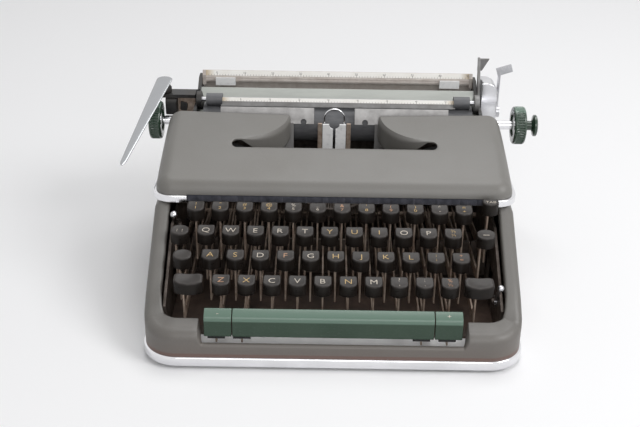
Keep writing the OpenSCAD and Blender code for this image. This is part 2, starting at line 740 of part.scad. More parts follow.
// Bright strip under the cover's edge, open in the middle of the front for the felt
trim_low_cover_z = deck_z + pass_gap;
felt_x = [-116, 120];
module cover_trim() {
    color(bright) difference() {
        cover_plan(cover_trim_out, trim_low_cover_z, cover_low_z);
        cover_plan(-cover_wall, trim_low_cover_z - 1, cover_low_z + 1);
        box([-casing_half + 20, casing_half - 20], [cover_rear_y - 5, cover_rear_y + cover_sweep + 5],
            [trim_low_cover_z - 1, cover_low_z + 1]);
        box(felt_x, [cover_front_y - 5, cover_front_y + 5], [trim_low_cover_z - 1, cover_low_z + 1]);
    }
}
module felt_strip() {
    color(felt_blue) box(felt_x, [cover_front_y, cover_front_y + cover_wall + 1.4],
        [trim_low_cover_z, cover_low_z]);
}

// Lower carriage: a channel that runs on the fixed rail and carries two guide posts
truck_short = 5;
truck_half = carriage_half - truck_short;
module carriage_truck() {
    color(steel) union() {
        difference() {
            box([carriage_x - truck_half, carriage_x + truck_half],
                [rail_y[0] - truck_flange, rail_y[1] + truck_flange], [truck_low_z, truck_top_z]);
            box([carriage_x - truck_half - 1, carriage_x + truck_half + 1],
                [rail_y[0] - run_fit, rail_y[1] + run_fit], [truck_low_z - 1, rail_z[1] + run_fit]);
        }
        for (s = [-1, 1]) translate([carriage_x + s*post_x, post_y, truck_top_z - 1])
            cylinder(h = post_top_z - truck_top_z + 1, r = post_r);
    }
}
module carriage_bed() {
    color(steel) difference() {
        box([end_in_left, end_in_right], bed_y, [bed_z, bed_z + bed_t]);
        for (s = [-1, 1]) translate([carriage_x + s*post_x, post_y, bed_z - 1])
            cylinder(h = bed_t + 2, r = post_r + run_fit);
    }
}

// End plates with bearings for the platen, the feed rollers and the bail
release_pivot = [100, platen_z + 4];
free_pivot = [112, platen_z - 4];
lever_pivot = [end_out_left - 27.7, 88];
bracket_z = [platen_z + 16.7, platen_z + 19.7];
bracket_half = 7;
lever_pin_r = 3;
hub_h = 12;
lever_pin_top_z = bracket_z[1] + hub_h;
module end_plate_outline() {
    difference() {
        union() {
            translate([platen_y, platen_z]) circle(r = platen_r - 2.5);
            polygon([[platen_y - 10.4, platen_z - 10], [feed_y - 6, feed_z - 5], [bed_y[0] + 1, feed_z - 5],
                [bed_y[0] + 1, bed_z], [margin_y + 5, bed_z], [margin_y + 5, margin_rod_z + 4],
                [margin_y - 6, margin_rod_z + 4], [bail_pivot_y + 13, bail_pivot_z + 4],
                [platen_y - 6.4, platen_z + 12]]);
        }
        translate([platen_y, platen_z]) circle(r = shaft_r + run_fit);
        translate([feed_y, feed_z]) circle(r = pin_r + run_fit);
    }
}
// Rounded cover over the right end, carried on the pins of the two levers
end_cover_x = [end_out_right + 3, end_out_right + 18];
end_cover_y = [99, 119];
end_cover_z = [platen_z - 9, platen_z + 28];
end_cover_r = 11;
free_lever_x = end_cover_x[1] + pass_gap;
free_hub_w = 4;
module end_cover() {
    translate([0, end_cover_y[1], 0]) rotate([90, 0, 0]) linear_extrude(end_cover_y[1] - end_cover_y[0])
        polygon(concat([[end_cover_x[0], end_cover_z[0]], [end_cover_x[1], end_cover_z[0]]],
            arc(end_cover_x[1] - end_cover_r, end_cover_z[1] - end_cover_r, end_cover_r, 0, 90, 6),
            [[end_cover_x[0], end_cover_z[1]]]));
}
module end_plates() {
    color(steel) {
        union() {
            across(end_out_left, end_in_left) end_plate_outline();
            bar_x(end_in_left - 1, end_in_left + bail_arm_t + 1, bail_pivot_y, bail_pivot_z, pin_r);
            box([lever_pivot[0] - bracket_half, end_in_left],
                [lever_pivot[1] - bracket_half, lever_pivot[1] + bracket_half], bracket_z);
            box([end_out_left, end_in_left], [lever_pivot[1] - bracket_half, lever_pivot[1] + bracket_half],
                [bail_pivot_z, bracket_z[1]]);
            translate([lever_pivot[0], lever_pivot[1], bracket_z[0]])
                cylinder(h = lever_pin_top_z - bracket_z[0], r = lever_pin_r);
        }
        union() {
            across(end_in_right, end_out_right) end_plate_outline();
            bar_x(end_in_right - bail_arm_t - 1, end_in_right + 1, bail_pivot_y, bail_pivot_z, pin_r);
            bar_x(end_out_right - 1, end_cover_x[0] + 1, release_pivot[0], release_pivot[1], pin_r);
            bar_x(end_out_right - 1, free_lever_x + free_hub_w, free_pivot[0], free_pivot[1], pin_r);
            end_cover();
        }
    }
}

// Chute behind the platen that ends in the sloping paper table
table_t = 1.2;
table_foot = 4;
table_bend = [5, 9];
table_edge = [17, 17.5];
table_path = [[bed_y[0] + table_foot, bed_z + bed_t], [bed_y[0] + 0.6, platen_z],
    [bed_y[0] + table_bend[0], platen_z + table_bend[1]],
    [bed_y[0] + table_edge[0], platen_z + table_edge[1]]];
module paper_table() {
    color(paint) across(end_in_left, end_in_right) polygon(concat(table_path,
        [for (i = [3:-1:0]) [table_path[i][0] + table_t, table_path[i][1] - (i > 1 ? 0.4 : 0)]]));
}

// Margin rod and the scale above it
scale_t = 1;
scale_low_z = margin_rod_z + 3.4;
scale_lean = 2.5;
rod_block_w = 3;
rod_block_half = 3.5;
stop_half = 5;
stop_z = [margin_rod_z - 4, margin_rod_z + 3];
rear_plate_y = margin_y + stop_half + pass_gap;
rear_plate_t = 1;
rear_plate_h = 18;
module margin_rail() {
    scale_y = margin_y - rod_block_half;
    color(cream) union() {
        bar_x(end_in_left, end_in_right, margin_y, margin_rod_z, margin_rod_r);
        for (x = [end_in_left, end_in_right - rod_block_w]) box([x, x + rod_block_w],
            [scale_y, rear_plate_y + rear_plate_t], [stop_z[0], scale_low_z + 2]);
        across(end_in_left, end_in_right) polygon([[scale_y, scale_low_z],
            [scale_y + scale_lean, margin_scale_z], [scale_y + scale_lean + scale_t, margin_scale_z],
            [scale_y + scale_t, scale_low_z]]);
        box([end_in_left, end_in_right], [rear_plate_y, rear_plate_y + rear_plate_t],
            [scale_low_z - rear_plate_h, scale_low_z]);
    }
}
stop_w = 18;
stop_inset = 12;
module margin_stop(x0) {
    color(bright) difference() {
        box([x0, x0 + stop_w], [margin_y - stop_half, margin_y + stop_half], stop_z);
        bar_x(x0 - 1, x0 + stop_w + 1, margin_y, margin_rod_z, margin_rod_r + run_fit);
    }
}
module left_margin_stop() { margin_stop(end_in_left + stop_inset); }
module right_margin_stop() { margin_stop(end_in_right - stop_inset - stop_w); }

// Platen with its shaft and knobs
shaft_left = end_out_left - knob_gap;
shaft_right = end_out_right + knob_gap;
button_r = 9.5;
button_t = 3.5;
button_reach = 7.5;
button_stem_r = 4.2;
button_bore = 9;
module platen_roller() {
    color(rubber) difference() {
        bar_x(carriage_x - platen_len/2, carriage_x + platen_len/2, platen_y, platen_z, platen_r);
        bar_x(carriage_x - platen_len/2 - 1, carriage_x + platen_len/2 + 1, platen_y, platen_z, shaft_r);
    }
}
module platen_shaft() {
    color(bright) bar_x(shaft_left, shaft_right, platen_y, platen_z, shaft_r);
}
knob_flutes = 40;
flute_r = 0.6;
module knob(x0) {
    color(green) difference() {
        bar_x(x0, x0 + knob_w, platen_y, platen_z, knob_r);
        for (i = [0:knob_flutes - 1]) translate([x0 + 2, platen_y, platen_z])
            rotate([i*360/knob_flutes, 0, 0]) translate([0, knob_r, 0])
            rotate([0, 90, 0]) cylinder(h = knob_w - 4, r = flute_r);
    }
}
knob_end = shaft_right + knob_w;
module left_knob() { knob(shaft_left - knob_w); }
module right_knob() {
    difference() {
        knob(shaft_right);
        bar_x(knob_end - button_bore, knob_end + 1, platen_y, platen_z, button_stem_r + run_fit);
    }
}
module variable_button() {
    color(green) union() {
        bar_x(knob_end - button_bore + 1, knob_end + button_reach, platen_y, platen_z, button_stem_r);
        bar_x(knob_end + button_reach, knob_end + button_reach + button_t, platen_y, platen_z, button_r);
    }
}
feed_half = 20;
module feed_rollers() {
    color(rubber) union() {
        bar_x(end_out_left, end_out_right, feed_y, feed_z, pin_r);
        for (i = [-1.5, -0.5, 0.5, 1.5]) translate([carriage_x + i*platen_len/4, 0, 0])
            bar_x(-feed_half, feed_half, feed_y, feed_z, feed_roller_r);
    }
}

// Return lever: a hub on the left bracket and a long tapering blade that falls towards the front
blade_len = 127;
blade_half = 7;
blade_tip_half = 1.8;
blade_back = 6.5;
blade_t = 2.4;
hub_r = 6.5;
blade_fall = 11.9;
blade_swing = 8.5;
module return_lever() {
    hub_z = bracket_z[1] + pass_gap;
    color(bright) difference() {
        translate([lever_pivot[0], lever_pivot[1], hub_z]) union() {
            cylinder(h = hub_h, r = hub_r);
            translate([0, 0, hub_h]) rotate([0, 0, -blade_swing]) rotate([blade_fall, 0, 0])
                translate([0, 0, -3]) linear_extrude(blade_t) polygon([[-blade_half, blade_back],
                [blade_half, blade_back], [blade_half, -blade_back], [blade_tip_half, -blade_len + 3],
                [0, -blade_len], [-blade_tip_half, -blade_len + 3], [-blade_half, -blade_back]]);
        }
        translate([lever_pivot[0], lever_pivot[1], hub_z - 1]) cylinder(h = 30, r = lever_pin_r + run_fit);
    }
}

// Paper bail: a rod with a flat scale between two arms
bail_arm_in_left = end_in_left + pass_gap;
bail_arm_in_right = end_in_right - pass_gap;
module bail_arm_outline() {
    difference() {
        union() {
            translate([bail_y, bail_z]) circle(r = bail_eye_r);
            translate([bail_pivot_y, bail_pivot_z]) circle(r = 4);
            translate([bail_pivot_y, bail_pivot_z])
                rotate(180 - atan2(bail_z - bail_pivot_z, bail_pivot_y - bail_y))
                translate([0, -bail_arm_half])
                square([norm([bail_pivot_y - bail_y, bail_z - bail_pivot_z]), 2*bail_arm_half]);
        }
        translate([bail_pivot_y, bail_pivot_z]) circle(r = pin_r + run_fit);
    }
}
band_tilt = 60;
bail_band_t = 1.2;
module paper_bail() {
    color(bright) union() {
        across(bail_arm_in_left, bail_arm_in_left + bail_arm_t) bail_arm_outline();
        across(bail_arm_in_right - bail_arm_t, bail_arm_in_right) bail_arm_outline();
        bar_x(bail_arm_in_left, bail_arm_in_right, bail_y, bail_z, pin_r);
        across(carriage_x - bail_band_half, carriage_x + bail_band_half) translate([bail_y, bail_z])
            rotate(band_tilt) translate([-bail_band_w/2, 1]) square([bail_band_w, bail_band_t]);
    }
}
module bail_roller(x0) {
    color(rubber) difference() {
        bar_x(x0, x0 + bail_roller_len, bail_y, bail_z, bail_roller_r);
        bar_x(x0 - 1, x0 + bail_roller_len + 1, bail_y, bail_z, pin_r + run_fit);
    }
}
module left_bail_roller() { bail_roller(carriage_x - bail_band_half - pass_gap - bail_roller_len); }
module right_bail_roller() { bail_roller(carriage_x + bail_band_half + pass_gap); }

// Levers at the right end of the carriage
release_root = 5;
release_neck = [13, 30];
release_neck_half = 3;
release_h = 41;
release_lean = 17;
release_pad_w = 10;
release_pad_y = release_lean + 0.5;
release_pad_foot = 4;
module paper_release_lever() {
    x0 = end_out_right + pass_gap;
    color(bright) translate([0, release_pivot[0], release_pivot[1]]) union() {
        across(x0, x0 + 2) difference() {
            polygon([[-release_root, -release_root], [release_root, -release_root],
                [release_neck[0] + release_neck_half, release_neck[1]], [release_lean + 3, release_h],
                [release_lean - 3, release_h], [release_neck[0] - release_neck_half, release_neck[1]]]);
            circle(r = pin_r + run_fit);
        }
        translate([x0, release_pad_y, 0]) rotate([90, 0, 0]) linear_extrude(2)
            polygon([[0, release_neck[1]], [release_pad_foot, release_neck[1]],
            [release_pad_w, release_h], [0, release_h]]);
    }
}
free_hub_r = 5;
free_wire_r = 1.4;
free_wire_z = [3, 37];
free_tab_z = 34;
free_tab = [14, 2, 7];
free_tab_tilt = 18;
module carriage_release_lever() {
    wire_x = free_lever_x + free_hub_w/2;
    wire_y = free_pivot[0] + free_hub_r - 2*free_wire_r + run_fit;
    color(bright) union() {
        difference() {
            bar_x(free_lever_x, free_lever_x + free_hub_w, free_pivot[0], free_pivot[1], free_hub_r);
            bar_x(free_lever_x - 1, free_lever_x + free_hub_w + 1, free_pivot[0], free_pivot[1],
                pin_r + run_fit);
        }
        translate([wire_x, wire_y, free_pivot[1] + free_wire_z[0]])
            cylinder(h = free_wire_z[1] - free_wire_z[0], r = free_wire_r);
        translate([wire_x - free_wire_r, wire_y - free_tab[1]/2, free_pivot[1] + free_tab_z])
            rotate([0, -free_tab_tilt, 0]) cube(free_tab);
    }
}

// Key lever: a flat bar on the fulcrum rod with an upright post at the front
module key_lever(x, y, foot_z, top_z) {
    color(steel) across(x - lever_t/2, x + lever_t/2) difference() {
        polygon([[fulcrum_y + 9, fulcrum_z - 4], [fulcrum_y + 9, fulcrum_z + 4],
            [fulcrum_y - 6, fulcrum_z + 4.5], [y + post_half + 4, foot_z + lever_h/2],
            [y + post_half, foot_z + lever_h/2 + 4], [y + post_half, top_z], [y - post_half, top_z],
            [y - post_half, foot_z - lever_h/2], [fulcrum_y - 6, fulcrum_z - 4.5]]);
        translate([fulcrum_y, fulcrum_z]) circle(r = fulcrum_r + run_fit);
    }
}
// Key top: a skirt with a curved front and a dished top, slotted for its lever
dish_r = 45;
dish_depth = 0.9;
module key_cap(x, y, z, w, d, h, lever_x, back_round = false) {
    front_r = w*w/8/key_bulge + key_bulge/2;
    color(key_black) difference() {
        translate([x, y, z - h]) linear_extrude(h) intersection() {
            translate([-w/2, 0]) square([w, d]);
            translate([0, front_r]) circle(r = front_r);
            translate([0, back_round ? d - front_r : 0]) circle(r = back_round ? front_r : 3*front_r + d);
        }
        translate([x, y + d/2, z + dish_r - dish_depth]) sphere(r = dish_r);
        box([lever_x - lever_t/2 - run_fit, lever_x + lever_t/2 + run_fit],
            [y + d/2 - post_half - run_fit, y + d/2 + post_half + run_fit],
            [z - h - 1, z - h + post_seat + run_fit]);
    }
}
module row_caps(row) {
    for (i = [0:row_counts[row] - 1])
        key_cap(row_x(row, i), row_y(row), row_z(row), key_w, key_d, key_h, row_x(row, i));
}
module row_levers(row) {
    for (i = [0:row_counts[row] - 1])
        key_lever(row_x(row, i), row_y(row) + key_d/2, lever_low_z + row*lever_step_z,
            row_z(row) - key_h + post_seat);
}
module bottom_row_caps() { row_caps(0); }
module bottom_row_levers() { row_levers(0); }
module home_row_caps() { row_caps(1); }
module home_row_levers() { row_levers(1); }
module top_row_caps() { row_caps(2); }
module top_row_levers() { row_levers(2); }
module number_row_caps() { row_caps(3); }
module number_row_levers() { row_levers(3); }

// Keys at the sides of the rows
module side_key(x, row, w, lever_x, back_round) {
    key_cap(x, row_y(row), row_z(row), w, key_d, key_h, lever_x, back_round);
    key_lever(lever_x, row_y(row) + key_d/2, lever_low_z + row*lever_step_z,
        row_z(row) - key_h + post_seat);
}
shift_w = 22;
side_w = 14;
module left_shift_key() { side_key(left_shift_x + 3.6, 0, shift_w, left_shift_x, false); }
module right_shift_key() { side_key(right_shift_x + 2.4, 0, shift_w, right_shift_x, false); }
module shift_lock_key() { side_key(shift_lock_x + 2, 1, side_w, shift_lock_x, true); }
module margin_release_key() { side_key(margin_release_x + 3.2, 2, side_w, margin_release_x, true); }
module backspace_key() { side_key(backspace_x + 4, 2, side_w, backspace_x, true); }
tab_y = -62.6;
tab_z = 97;
tab_w = 12.4;
tab_d = 8;
tab_h = 11;
module tab_key() {
    key_cap(tab_x + 2, tab_y, tab_z, tab_w, tab_d, tab_h, tab_x, false);
    key_lever(tab_x, tab_y + tab_d/2, lever_low_z + 3*lever_step_z, tab_z - tab_h + post_seat);
}

// Space bar and the keys beside it: a bent strip with bosses for the levers
bar_y = -casing_front + 7;
bar_top_z = 44.3;
bar_low_z = 24.8;
module bar_strip(x0, x1) {
    across(x0, x1) polygon([[bar_y + 7, bar_top_z], [bar_y, bar_top_z - 3.7], [bar_y - 1.3, bar_low_z],
        [bar_y + 1.2, bar_low_z], [bar_y + 2.4, bar_top_z - 5.4], [bar_y + 8, bar_top_z - 2.6]]);
}
boss_z = [21.5, 40];
boss_y = [bar_y + 1.4, bar_y + 8];
boss_half = 6.5;
bar_post_y = bar_y + 4.7;
bar_post_z = 35;
bar_foot_z = 22;
module bar_lever(x) { key_lever(x, bar_post_y, bar_foot_z, bar_post_z); }
module bar_key(x0, x1, lever_xs) {
    color(green) difference() {
        union() {
            bar_strip(x0, x1);
            for (x = lever_xs) box([x - boss_half, x + boss_half], boss_y, boss_z);
        }
        for (x = lever_xs) box([x - lever_t/2 - run_fit, x + lever_t/2 + run_fit],
            [bar_post_y - post_half - run_fit, boss_y[1] + 1], [boss_z[0] - 1, bar_post_z + run_fit]);
    }
    for (x = lever_xs) bar_lever(x);
}
module space_bar() { bar_key(-space_bar_w/2, space_bar_w/2, space_lever_x); }
end_gap = 0.7;
module tab_clear_key() {
    bar_key(-space_bar_w/2 - end_gap - end_key_w, -space_bar_w/2 - end_gap, [tab_clear_x]);
}
module tab_set_key() {
    bar_key(space_bar_w/2 + end_gap, space_bar_w/2 + end_gap + end_key_w, [tab_set_x]);
}

// Small bright levers at the sides of the keyboard
side_lever_t = 2;
side_lever_half = 1.8;
module side_lever(x0, pivot, tip, ball_r) {
    color(bright) union() {
        across(x0, x0 + side_lever_t) difference() {
            union() {
                translate(pivot) circle(r = 4.5);
                translate(pivot) rotate(atan2(tip[1] - pivot[1], tip[0] - pivot[0]))
                    translate([0, -side_lever_half]) square([norm(tip - pivot), 2*side_lever_half]);
            }
            translate(pivot) circle(r = pin_r + run_fit);
        }
        translate([x0 + side_lever_t/2, tip[0], tip[1]]) sphere(r = ball_r);
    }
}
selector_reach = [-22, 20];
touch_reach = [-18, 22];
module ribbon_selector() {
    side_lever(-frame_in + pass_gap, selector_pivot, selector_pivot + selector_reach, 3);
}
module touch_lever() {
    side_lever(frame_in - pass_gap - side_lever_t, touch_pivot, touch_pivot + touch_reach, 2.6);
}

// The origin lies on the floor under the middle of the box round the whole machine
origin_shift = [-4.052, 10.75, 0];
module placed() { translate(origin_shift) children(); }

placed() lower_casing();
placed() base_trim();
placed() rubber_feet();
placed() main_frame();
placed() lever_comb();
placed() fulcrum_rod();
placed() type_segment();
placed() type_bars();
placed() type_rest();
placed() type_guide();
placed() card_guides();
placed() carriage_rail();
placed() spool_cups();
placed() bell();
placed() mainspring_drum();
placed() ribbon_cover();
placed() cover_trim();
placed() felt_strip();
placed() carriage_truck();
placed() carriage_bed();
placed() end_plates();
placed() paper_table();
placed() margin_rail();
placed() platen_roller();
placed() platen_shaft();
placed() left_knob();
placed() right_knob();
placed() variable_button();
placed() feed_rollers();
placed() return_lever();
placed() paper_bail();
placed() left_bail_roller();
placed() right_bail_roller();
placed() paper_release_lever();
placed() carriage_release_lever();
placed() left_margin_stop();
placed() right_margin_stop();
placed() bottom_row_caps();
placed() bottom_row_levers();
placed() home_row_caps();
placed() home_row_levers();
placed() top_row_caps();
placed() top_row_levers();
placed() number_row_caps();
placed() number_row_levers();
placed() left_shift_key();
placed() right_shift_key();
placed() shift_lock_key();
placed() space_bar();
placed() tab_clear_key();
placed() tab_set_key();
placed() margin_release_key();
placed() backspace_key();
placed() tab_key();
placed() centre_type_bar();
placed() ribbon_vibrator();
placed() left_spool();
placed() right_spool();
placed() ribbon_selector();
placed() touch_lever();
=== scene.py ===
"""Portable typewriter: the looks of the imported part, in a plain pale studio."""

import math

import bmesh
import bpy
import numpy as np
from mathutils import Matrix, Vector


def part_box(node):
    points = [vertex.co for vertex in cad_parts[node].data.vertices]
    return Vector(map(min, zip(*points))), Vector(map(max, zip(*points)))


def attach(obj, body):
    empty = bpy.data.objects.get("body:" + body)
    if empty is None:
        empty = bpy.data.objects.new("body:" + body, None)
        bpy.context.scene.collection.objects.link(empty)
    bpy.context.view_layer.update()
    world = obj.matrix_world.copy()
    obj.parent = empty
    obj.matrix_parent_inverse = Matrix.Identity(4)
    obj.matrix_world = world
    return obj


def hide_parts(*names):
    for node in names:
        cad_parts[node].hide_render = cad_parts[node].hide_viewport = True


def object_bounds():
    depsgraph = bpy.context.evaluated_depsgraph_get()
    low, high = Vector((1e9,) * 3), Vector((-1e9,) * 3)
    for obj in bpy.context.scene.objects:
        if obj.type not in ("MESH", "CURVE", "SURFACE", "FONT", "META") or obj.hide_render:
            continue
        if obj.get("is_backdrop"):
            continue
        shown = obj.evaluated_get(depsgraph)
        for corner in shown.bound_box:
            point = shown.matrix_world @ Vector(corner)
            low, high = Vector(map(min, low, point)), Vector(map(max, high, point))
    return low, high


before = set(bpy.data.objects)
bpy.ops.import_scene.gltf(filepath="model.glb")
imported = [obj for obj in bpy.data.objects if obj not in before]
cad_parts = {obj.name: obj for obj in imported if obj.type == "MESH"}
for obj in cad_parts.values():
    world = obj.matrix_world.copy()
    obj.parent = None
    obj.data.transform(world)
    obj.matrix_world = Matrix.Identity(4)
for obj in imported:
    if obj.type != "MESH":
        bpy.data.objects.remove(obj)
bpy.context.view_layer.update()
scene = bpy.context.scene
draw = np.random.default_rng(7)
MM = 0.001
# Place of the body's own origin in the frame, in millimetres: midway between the casing's sides,
# and this far before its rear wall
CASING_REAR = 128
casing_corners = np.array(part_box("lower_casing")) / MM
SHIFT = np.array([casing_corners[:, 0].mean(), casing_corners[1, 1] - CASING_REAR, 0])


def box_mm(node):
    """Lowest and highest corner of a CAD node, in millimetres from the body's own origin."""
    return np.array(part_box(node)) / MM - SHIFT


# Sizes of the machine, in millimetres
casing_low, casing_high = box_mm("lower_casing")
CASING_HALF = casing_high[0]
CASING_FRONT = -casing_low[1]
TRIM_TOP = casing_low[2]
DECK_Z = casing_high[2]
FRONT_CORNER = 26
REAR_CORNER = 18
CASING_WALL = 1.6
RAIL_W = 12
SHOULDER_W = 16.5
SHOULDER_Z = 36
SHOULDER_FALL = 4.5
NOTCH_HALF = 96.5
NOTCH_BLEND = 4
NOTCH_Z = 21
NOTCH_EDGE = 4.2
EDGE_R = 8
LIP_R = 2.2
LIP_H = 6
# Largest shares of the rail's width that its outer edge and its lip may round
EDGE_SHARE = 0.55
LIP_SHARE = 0.25
REAR_Z = 78
cover_low, cover_high = box_mm("ribbon_cover")
cover_half = cover_high[0]
COVER_FRONT = cover_low[1]
COVER_SWEEP = 4
COVER_REAR = cover_high[1] - COVER_SWEEP
COVER_LOW_Z = cover_low[2]
COVER_REAR_Z = 125
COVER_SHOULDER_Z = 106.3
COVER_SHOULDER_Y = COVER_FRONT + 10
COVER_CROWN = 1.8
COVER_CORNER = 14
COVER_FILLET = 12
COVER_WALL = 1.6
KEY_W = 13.5
KEY_D = 12.6
KEY_H = 10
SIDE_PLATE_T = 2
HINGE_PIN_LEN = 7
FRAME_IN = box_mm("main_frame")[1][0] - SIDE_PLATE_T - HINGE_PIN_LEN
# Scales: a tick for each letter, ten to the inch
TICK_PITCH = 2.54


# Shader arithmetic
def arithmetic(operation, swapped=False):
    """An operator of Value, which adds one Math node."""
    def method(self, other):
        first, second = (other, self) if swapped else (self, other)
        return self.finish.node("ShaderNodeMath", {"operation": operation}, {0: first, 1: second})
    return method


class Value:
    """A shader socket that takes part in arithmetic."""

    def __init__(self, finish, socket):
        self.finish = finish
        self.socket = socket

    __add__ = __radd__ = arithmetic("ADD")
    __mul__ = __rmul__ = arithmetic("MULTIPLY")
    __sub__ = arithmetic("SUBTRACT")
    __rsub__ = arithmetic("SUBTRACT", swapped=True)
    __mod__ = arithmetic("FLOORED_MODULO")
    __lt__ = arithmetic("LESS_THAN")
    larger = arithmetic("MAXIMUM")


class Finish:
    """A material with one Principled shader. Keywords set the shader's own sockets."""

    def __init__(self, name, **sockets):
        self.material = bpy.data.materials.new(name)
        self.material.use_nodes = True
        self.tree = self.material.node_tree
        self.shader = self.tree.nodes["Principled BSDF"]
        self.place = self.node("ShaderNodeTexCoord", {}, {}, "Object")
        self.surface(**sockets)

    def node(self, kind, settings, sockets, output=0):
        """Adds a node: settings first, then the values or links of its sockets."""
        made = self.tree.nodes.new(kind)
        for name, value in settings.items():
            setattr(made, name, value)
        for name, value in sockets.items():
            self.feed(made.inputs[name], value)
        return Value(self, made.outputs[output])

    def feed(self, socket, value):
        if isinstance(value, Value):
            self.tree.links.new(value.socket, socket)
        elif socket.type == "RGBA":
            socket.default_value = (*value, 1)
        else:
            socket.default_value = value

    def surface(self, **sockets):
        """Feeds the shader's sockets; an underscore in a keyword stands for a space."""
        for name, value in sockets.items():
            self.feed(self.shader.inputs[name.replace("_", " ")], value)

    def noise(self, scale, detail=3.0, roughness=0.5, stretch=(1, 1, 1)):
        """Noise from 0 to 1 on Object coordinates; scale is in grains a metre."""
        place = self.place
        if stretch != (1, 1, 1):
            place = self.node("ShaderNodeMapping", {}, {"Vector": place, "Scale": stretch})
        sockets = {"Vector": place, "Scale": scale, "Detail": detail, "Roughness": roughness}
        return self.node("ShaderNodeTexNoise", {}, sockets, "Fac")

    def band(self, value, low, high):
        """Value taken linearly from 0 at low to 1 at high."""
        sockets = {"Value": value, "From Min": low, "From Max": high}
        return self.node("ShaderNodeMapRange", {"clamp": True}, sockets)

    def patches(self, scale, low, high, detail=4.0, roughness=0.5, stretch=(1, 1, 1)):
        """Blotches: 0 where the noise is under low, 1 where it is over high."""
        return self.band(self.noise(scale, detail, roughness, stretch), low, high)

    def mix(self, share, first, second):
        """Colour mix."""
        return self.node("ShaderNodeMix", {"data_type": "RGBA"}, {0: share, 6: first, 7: second}, 2)

    def bump(self, height, distance, strength):
        sockets = {"Height": height, "Distance": distance, "Strength": strength}
        return self.node("ShaderNodeBump", {}, sockets, "Normal")

    def along(self, axis):
        """One of the Object coordinates."""
        return self.node("ShaderNodeSeparateXYZ", {}, {0: self.place}, axis)

    def attribute(self, name):
        """A number that the mesh holds for each point."""
        return self.node("ShaderNodeAttribute", {"attribute_name": name}, {}, "Fac")


# Finishes. Heights and depths in them are in metres, as Object coordinates are
# Heights over which the paint grows darker and browner towards its foot
FOOT_DARKENING_Z = (0.034, 0.0145)
RUST_Z = (0.0136, 0.0126)
PAN_WHITE_Y = (-0.101, -0.094)
# Depths under a green moulding's top between which its painted highlight comes in
TOP_SHEEN_DEPTHS = (0.0027, 0.0017)


def wrinkle_paint(name, clean, soiled, fleck):
    """Grey-green enamel with a fine wrinkle, faint soiling, darker and browner towards its foot, and a
    brown line along its foot.
    """
    paint = Finish(name, Coat_Weight=0.12, Coat_Roughness=0.32)
    soil = paint.patches(14, 0.42, 0.72)
    tone = paint.mix(soil, clean, soiled)
    # Darker and browner towards the foot of the wall
    foot = paint.band(paint.along("Z"), *FOOT_DARKENING_Z)
    tone = paint.mix(foot * 0.7, tone, (0.125, 0.100, 0.085))
    rust = paint.band(paint.along("Z"), *RUST_Z)
    tone = paint.mix(rust * 0.8, tone, (0.130, 0.060, 0.045))
    speck = paint.patches(1500, 0.35, 0.65, 2)
    grain = paint.mix(speck * 0.3, tone, fleck)
    wrinkle = paint.noise(1100, 4, 0.62) + paint.noise(420, 3) * 0.6
    paint.surface(Base_Color=grain, Roughness=paint.noise(60, 3) * 0.12 + 0.40)
    paint.surface(Normal=paint.bump(wrinkle, 0.00016, 0.55))
    return paint.material


def table_paint():
    """Pale grey-green satin enamel of the paper table."""
    paint = Finish("table_paint", Coat_Weight=0.3, Coat_Roughness=0.2)
    streak = paint.patches(30, 0.35, 0.7, 4, 0.6, (1, 6, 6))
    paint.surface(Base_Color=paint.mix(streak, (0.37, 0.385, 0.355), (0.31, 0.325, 0.300)))
    paint.surface(Roughness=paint.noise(200, 3) * 0.15 + 0.28)
    return paint.material


def plated(name, colour, rough):
    """Bright plating with faint smears and fine scratches."""
    metal = Finish(name, Metallic=1.0)
    smear = metal.patches(45, 0.4, 0.75)
    metal.surface(Base_Color=metal.mix(smear, colour, tuple(0.88 * c for c in colour)))
    metal.surface(Roughness=smear * 0.14 + metal.noise(900, 2, 0.5, (1, 12, 1)) * 0.06 + rough)
    return metal.material


def blotched(name, blotch, first, second, rough=None, grain=None, **sockets):
    """A surface whose colour goes from first to second in blotches; rough is the factor and the
    addend that make its roughness of them. Blotch goes to patches, grain to noise and then to bump."""
    finish = Finish(name, **sockets)
    share = finish.patches(*blotch)
    finish.surface(Base_Color=finish.mix(share, first, second))
    if rough:
        finish.surface(Roughness=share * rough[0] + rough[1])
    if grain:
        finish.surface(Normal=finish.bump(finish.noise(*grain[0]), *grain[1]))
    return finish.material


def aged_steel(name, light, dark, rough, shine):
    """Bare or thinly painted steel that has browned, with darker stains."""
    grain = ((700, 3), (0.00005, 0.5))
    return blotched(name, (120, 0.38, 0.66, 5, 0.65), light, dark, (0.2, rough), grain, Metallic=shine)


def key_plastic():
    """Black-brown moulded plastic, paler and duller on the tops than on the skirts: partly finger wear,
    partly painted light on the top faces.
    """
    plastic = Finish("key_plastic", Specular_IOR_Level=0.18, Coat_Roughness=0.18)
    wear_and_top_light = plastic.attribute("wear_and_top_light")
    haze = plastic.patches(160, 0.3, 0.7)
    top = plastic.mix(haze, (0.031, 0.027, 0.025), (0.048, 0.042, 0.039))
    side = plastic.mix(haze, (0.009, 0.007, 0.006), (0.014, 0.011, 0.009))
    # The tops take the paler colour: partly finger wear, partly painted light on the top faces
    plastic.surface(Base_Color=plastic.mix(wear_and_top_light, side, top), Coat_Weight=wear_and_top_light * 0.15)
    plastic.surface(Roughness=wear_and_top_light * 0.12 + haze * 0.10 + 0.26)
    plastic.surface(Normal=plastic.bump(plastic.noise(1300, 2), 0.00003, 0.4))
    return plastic.material


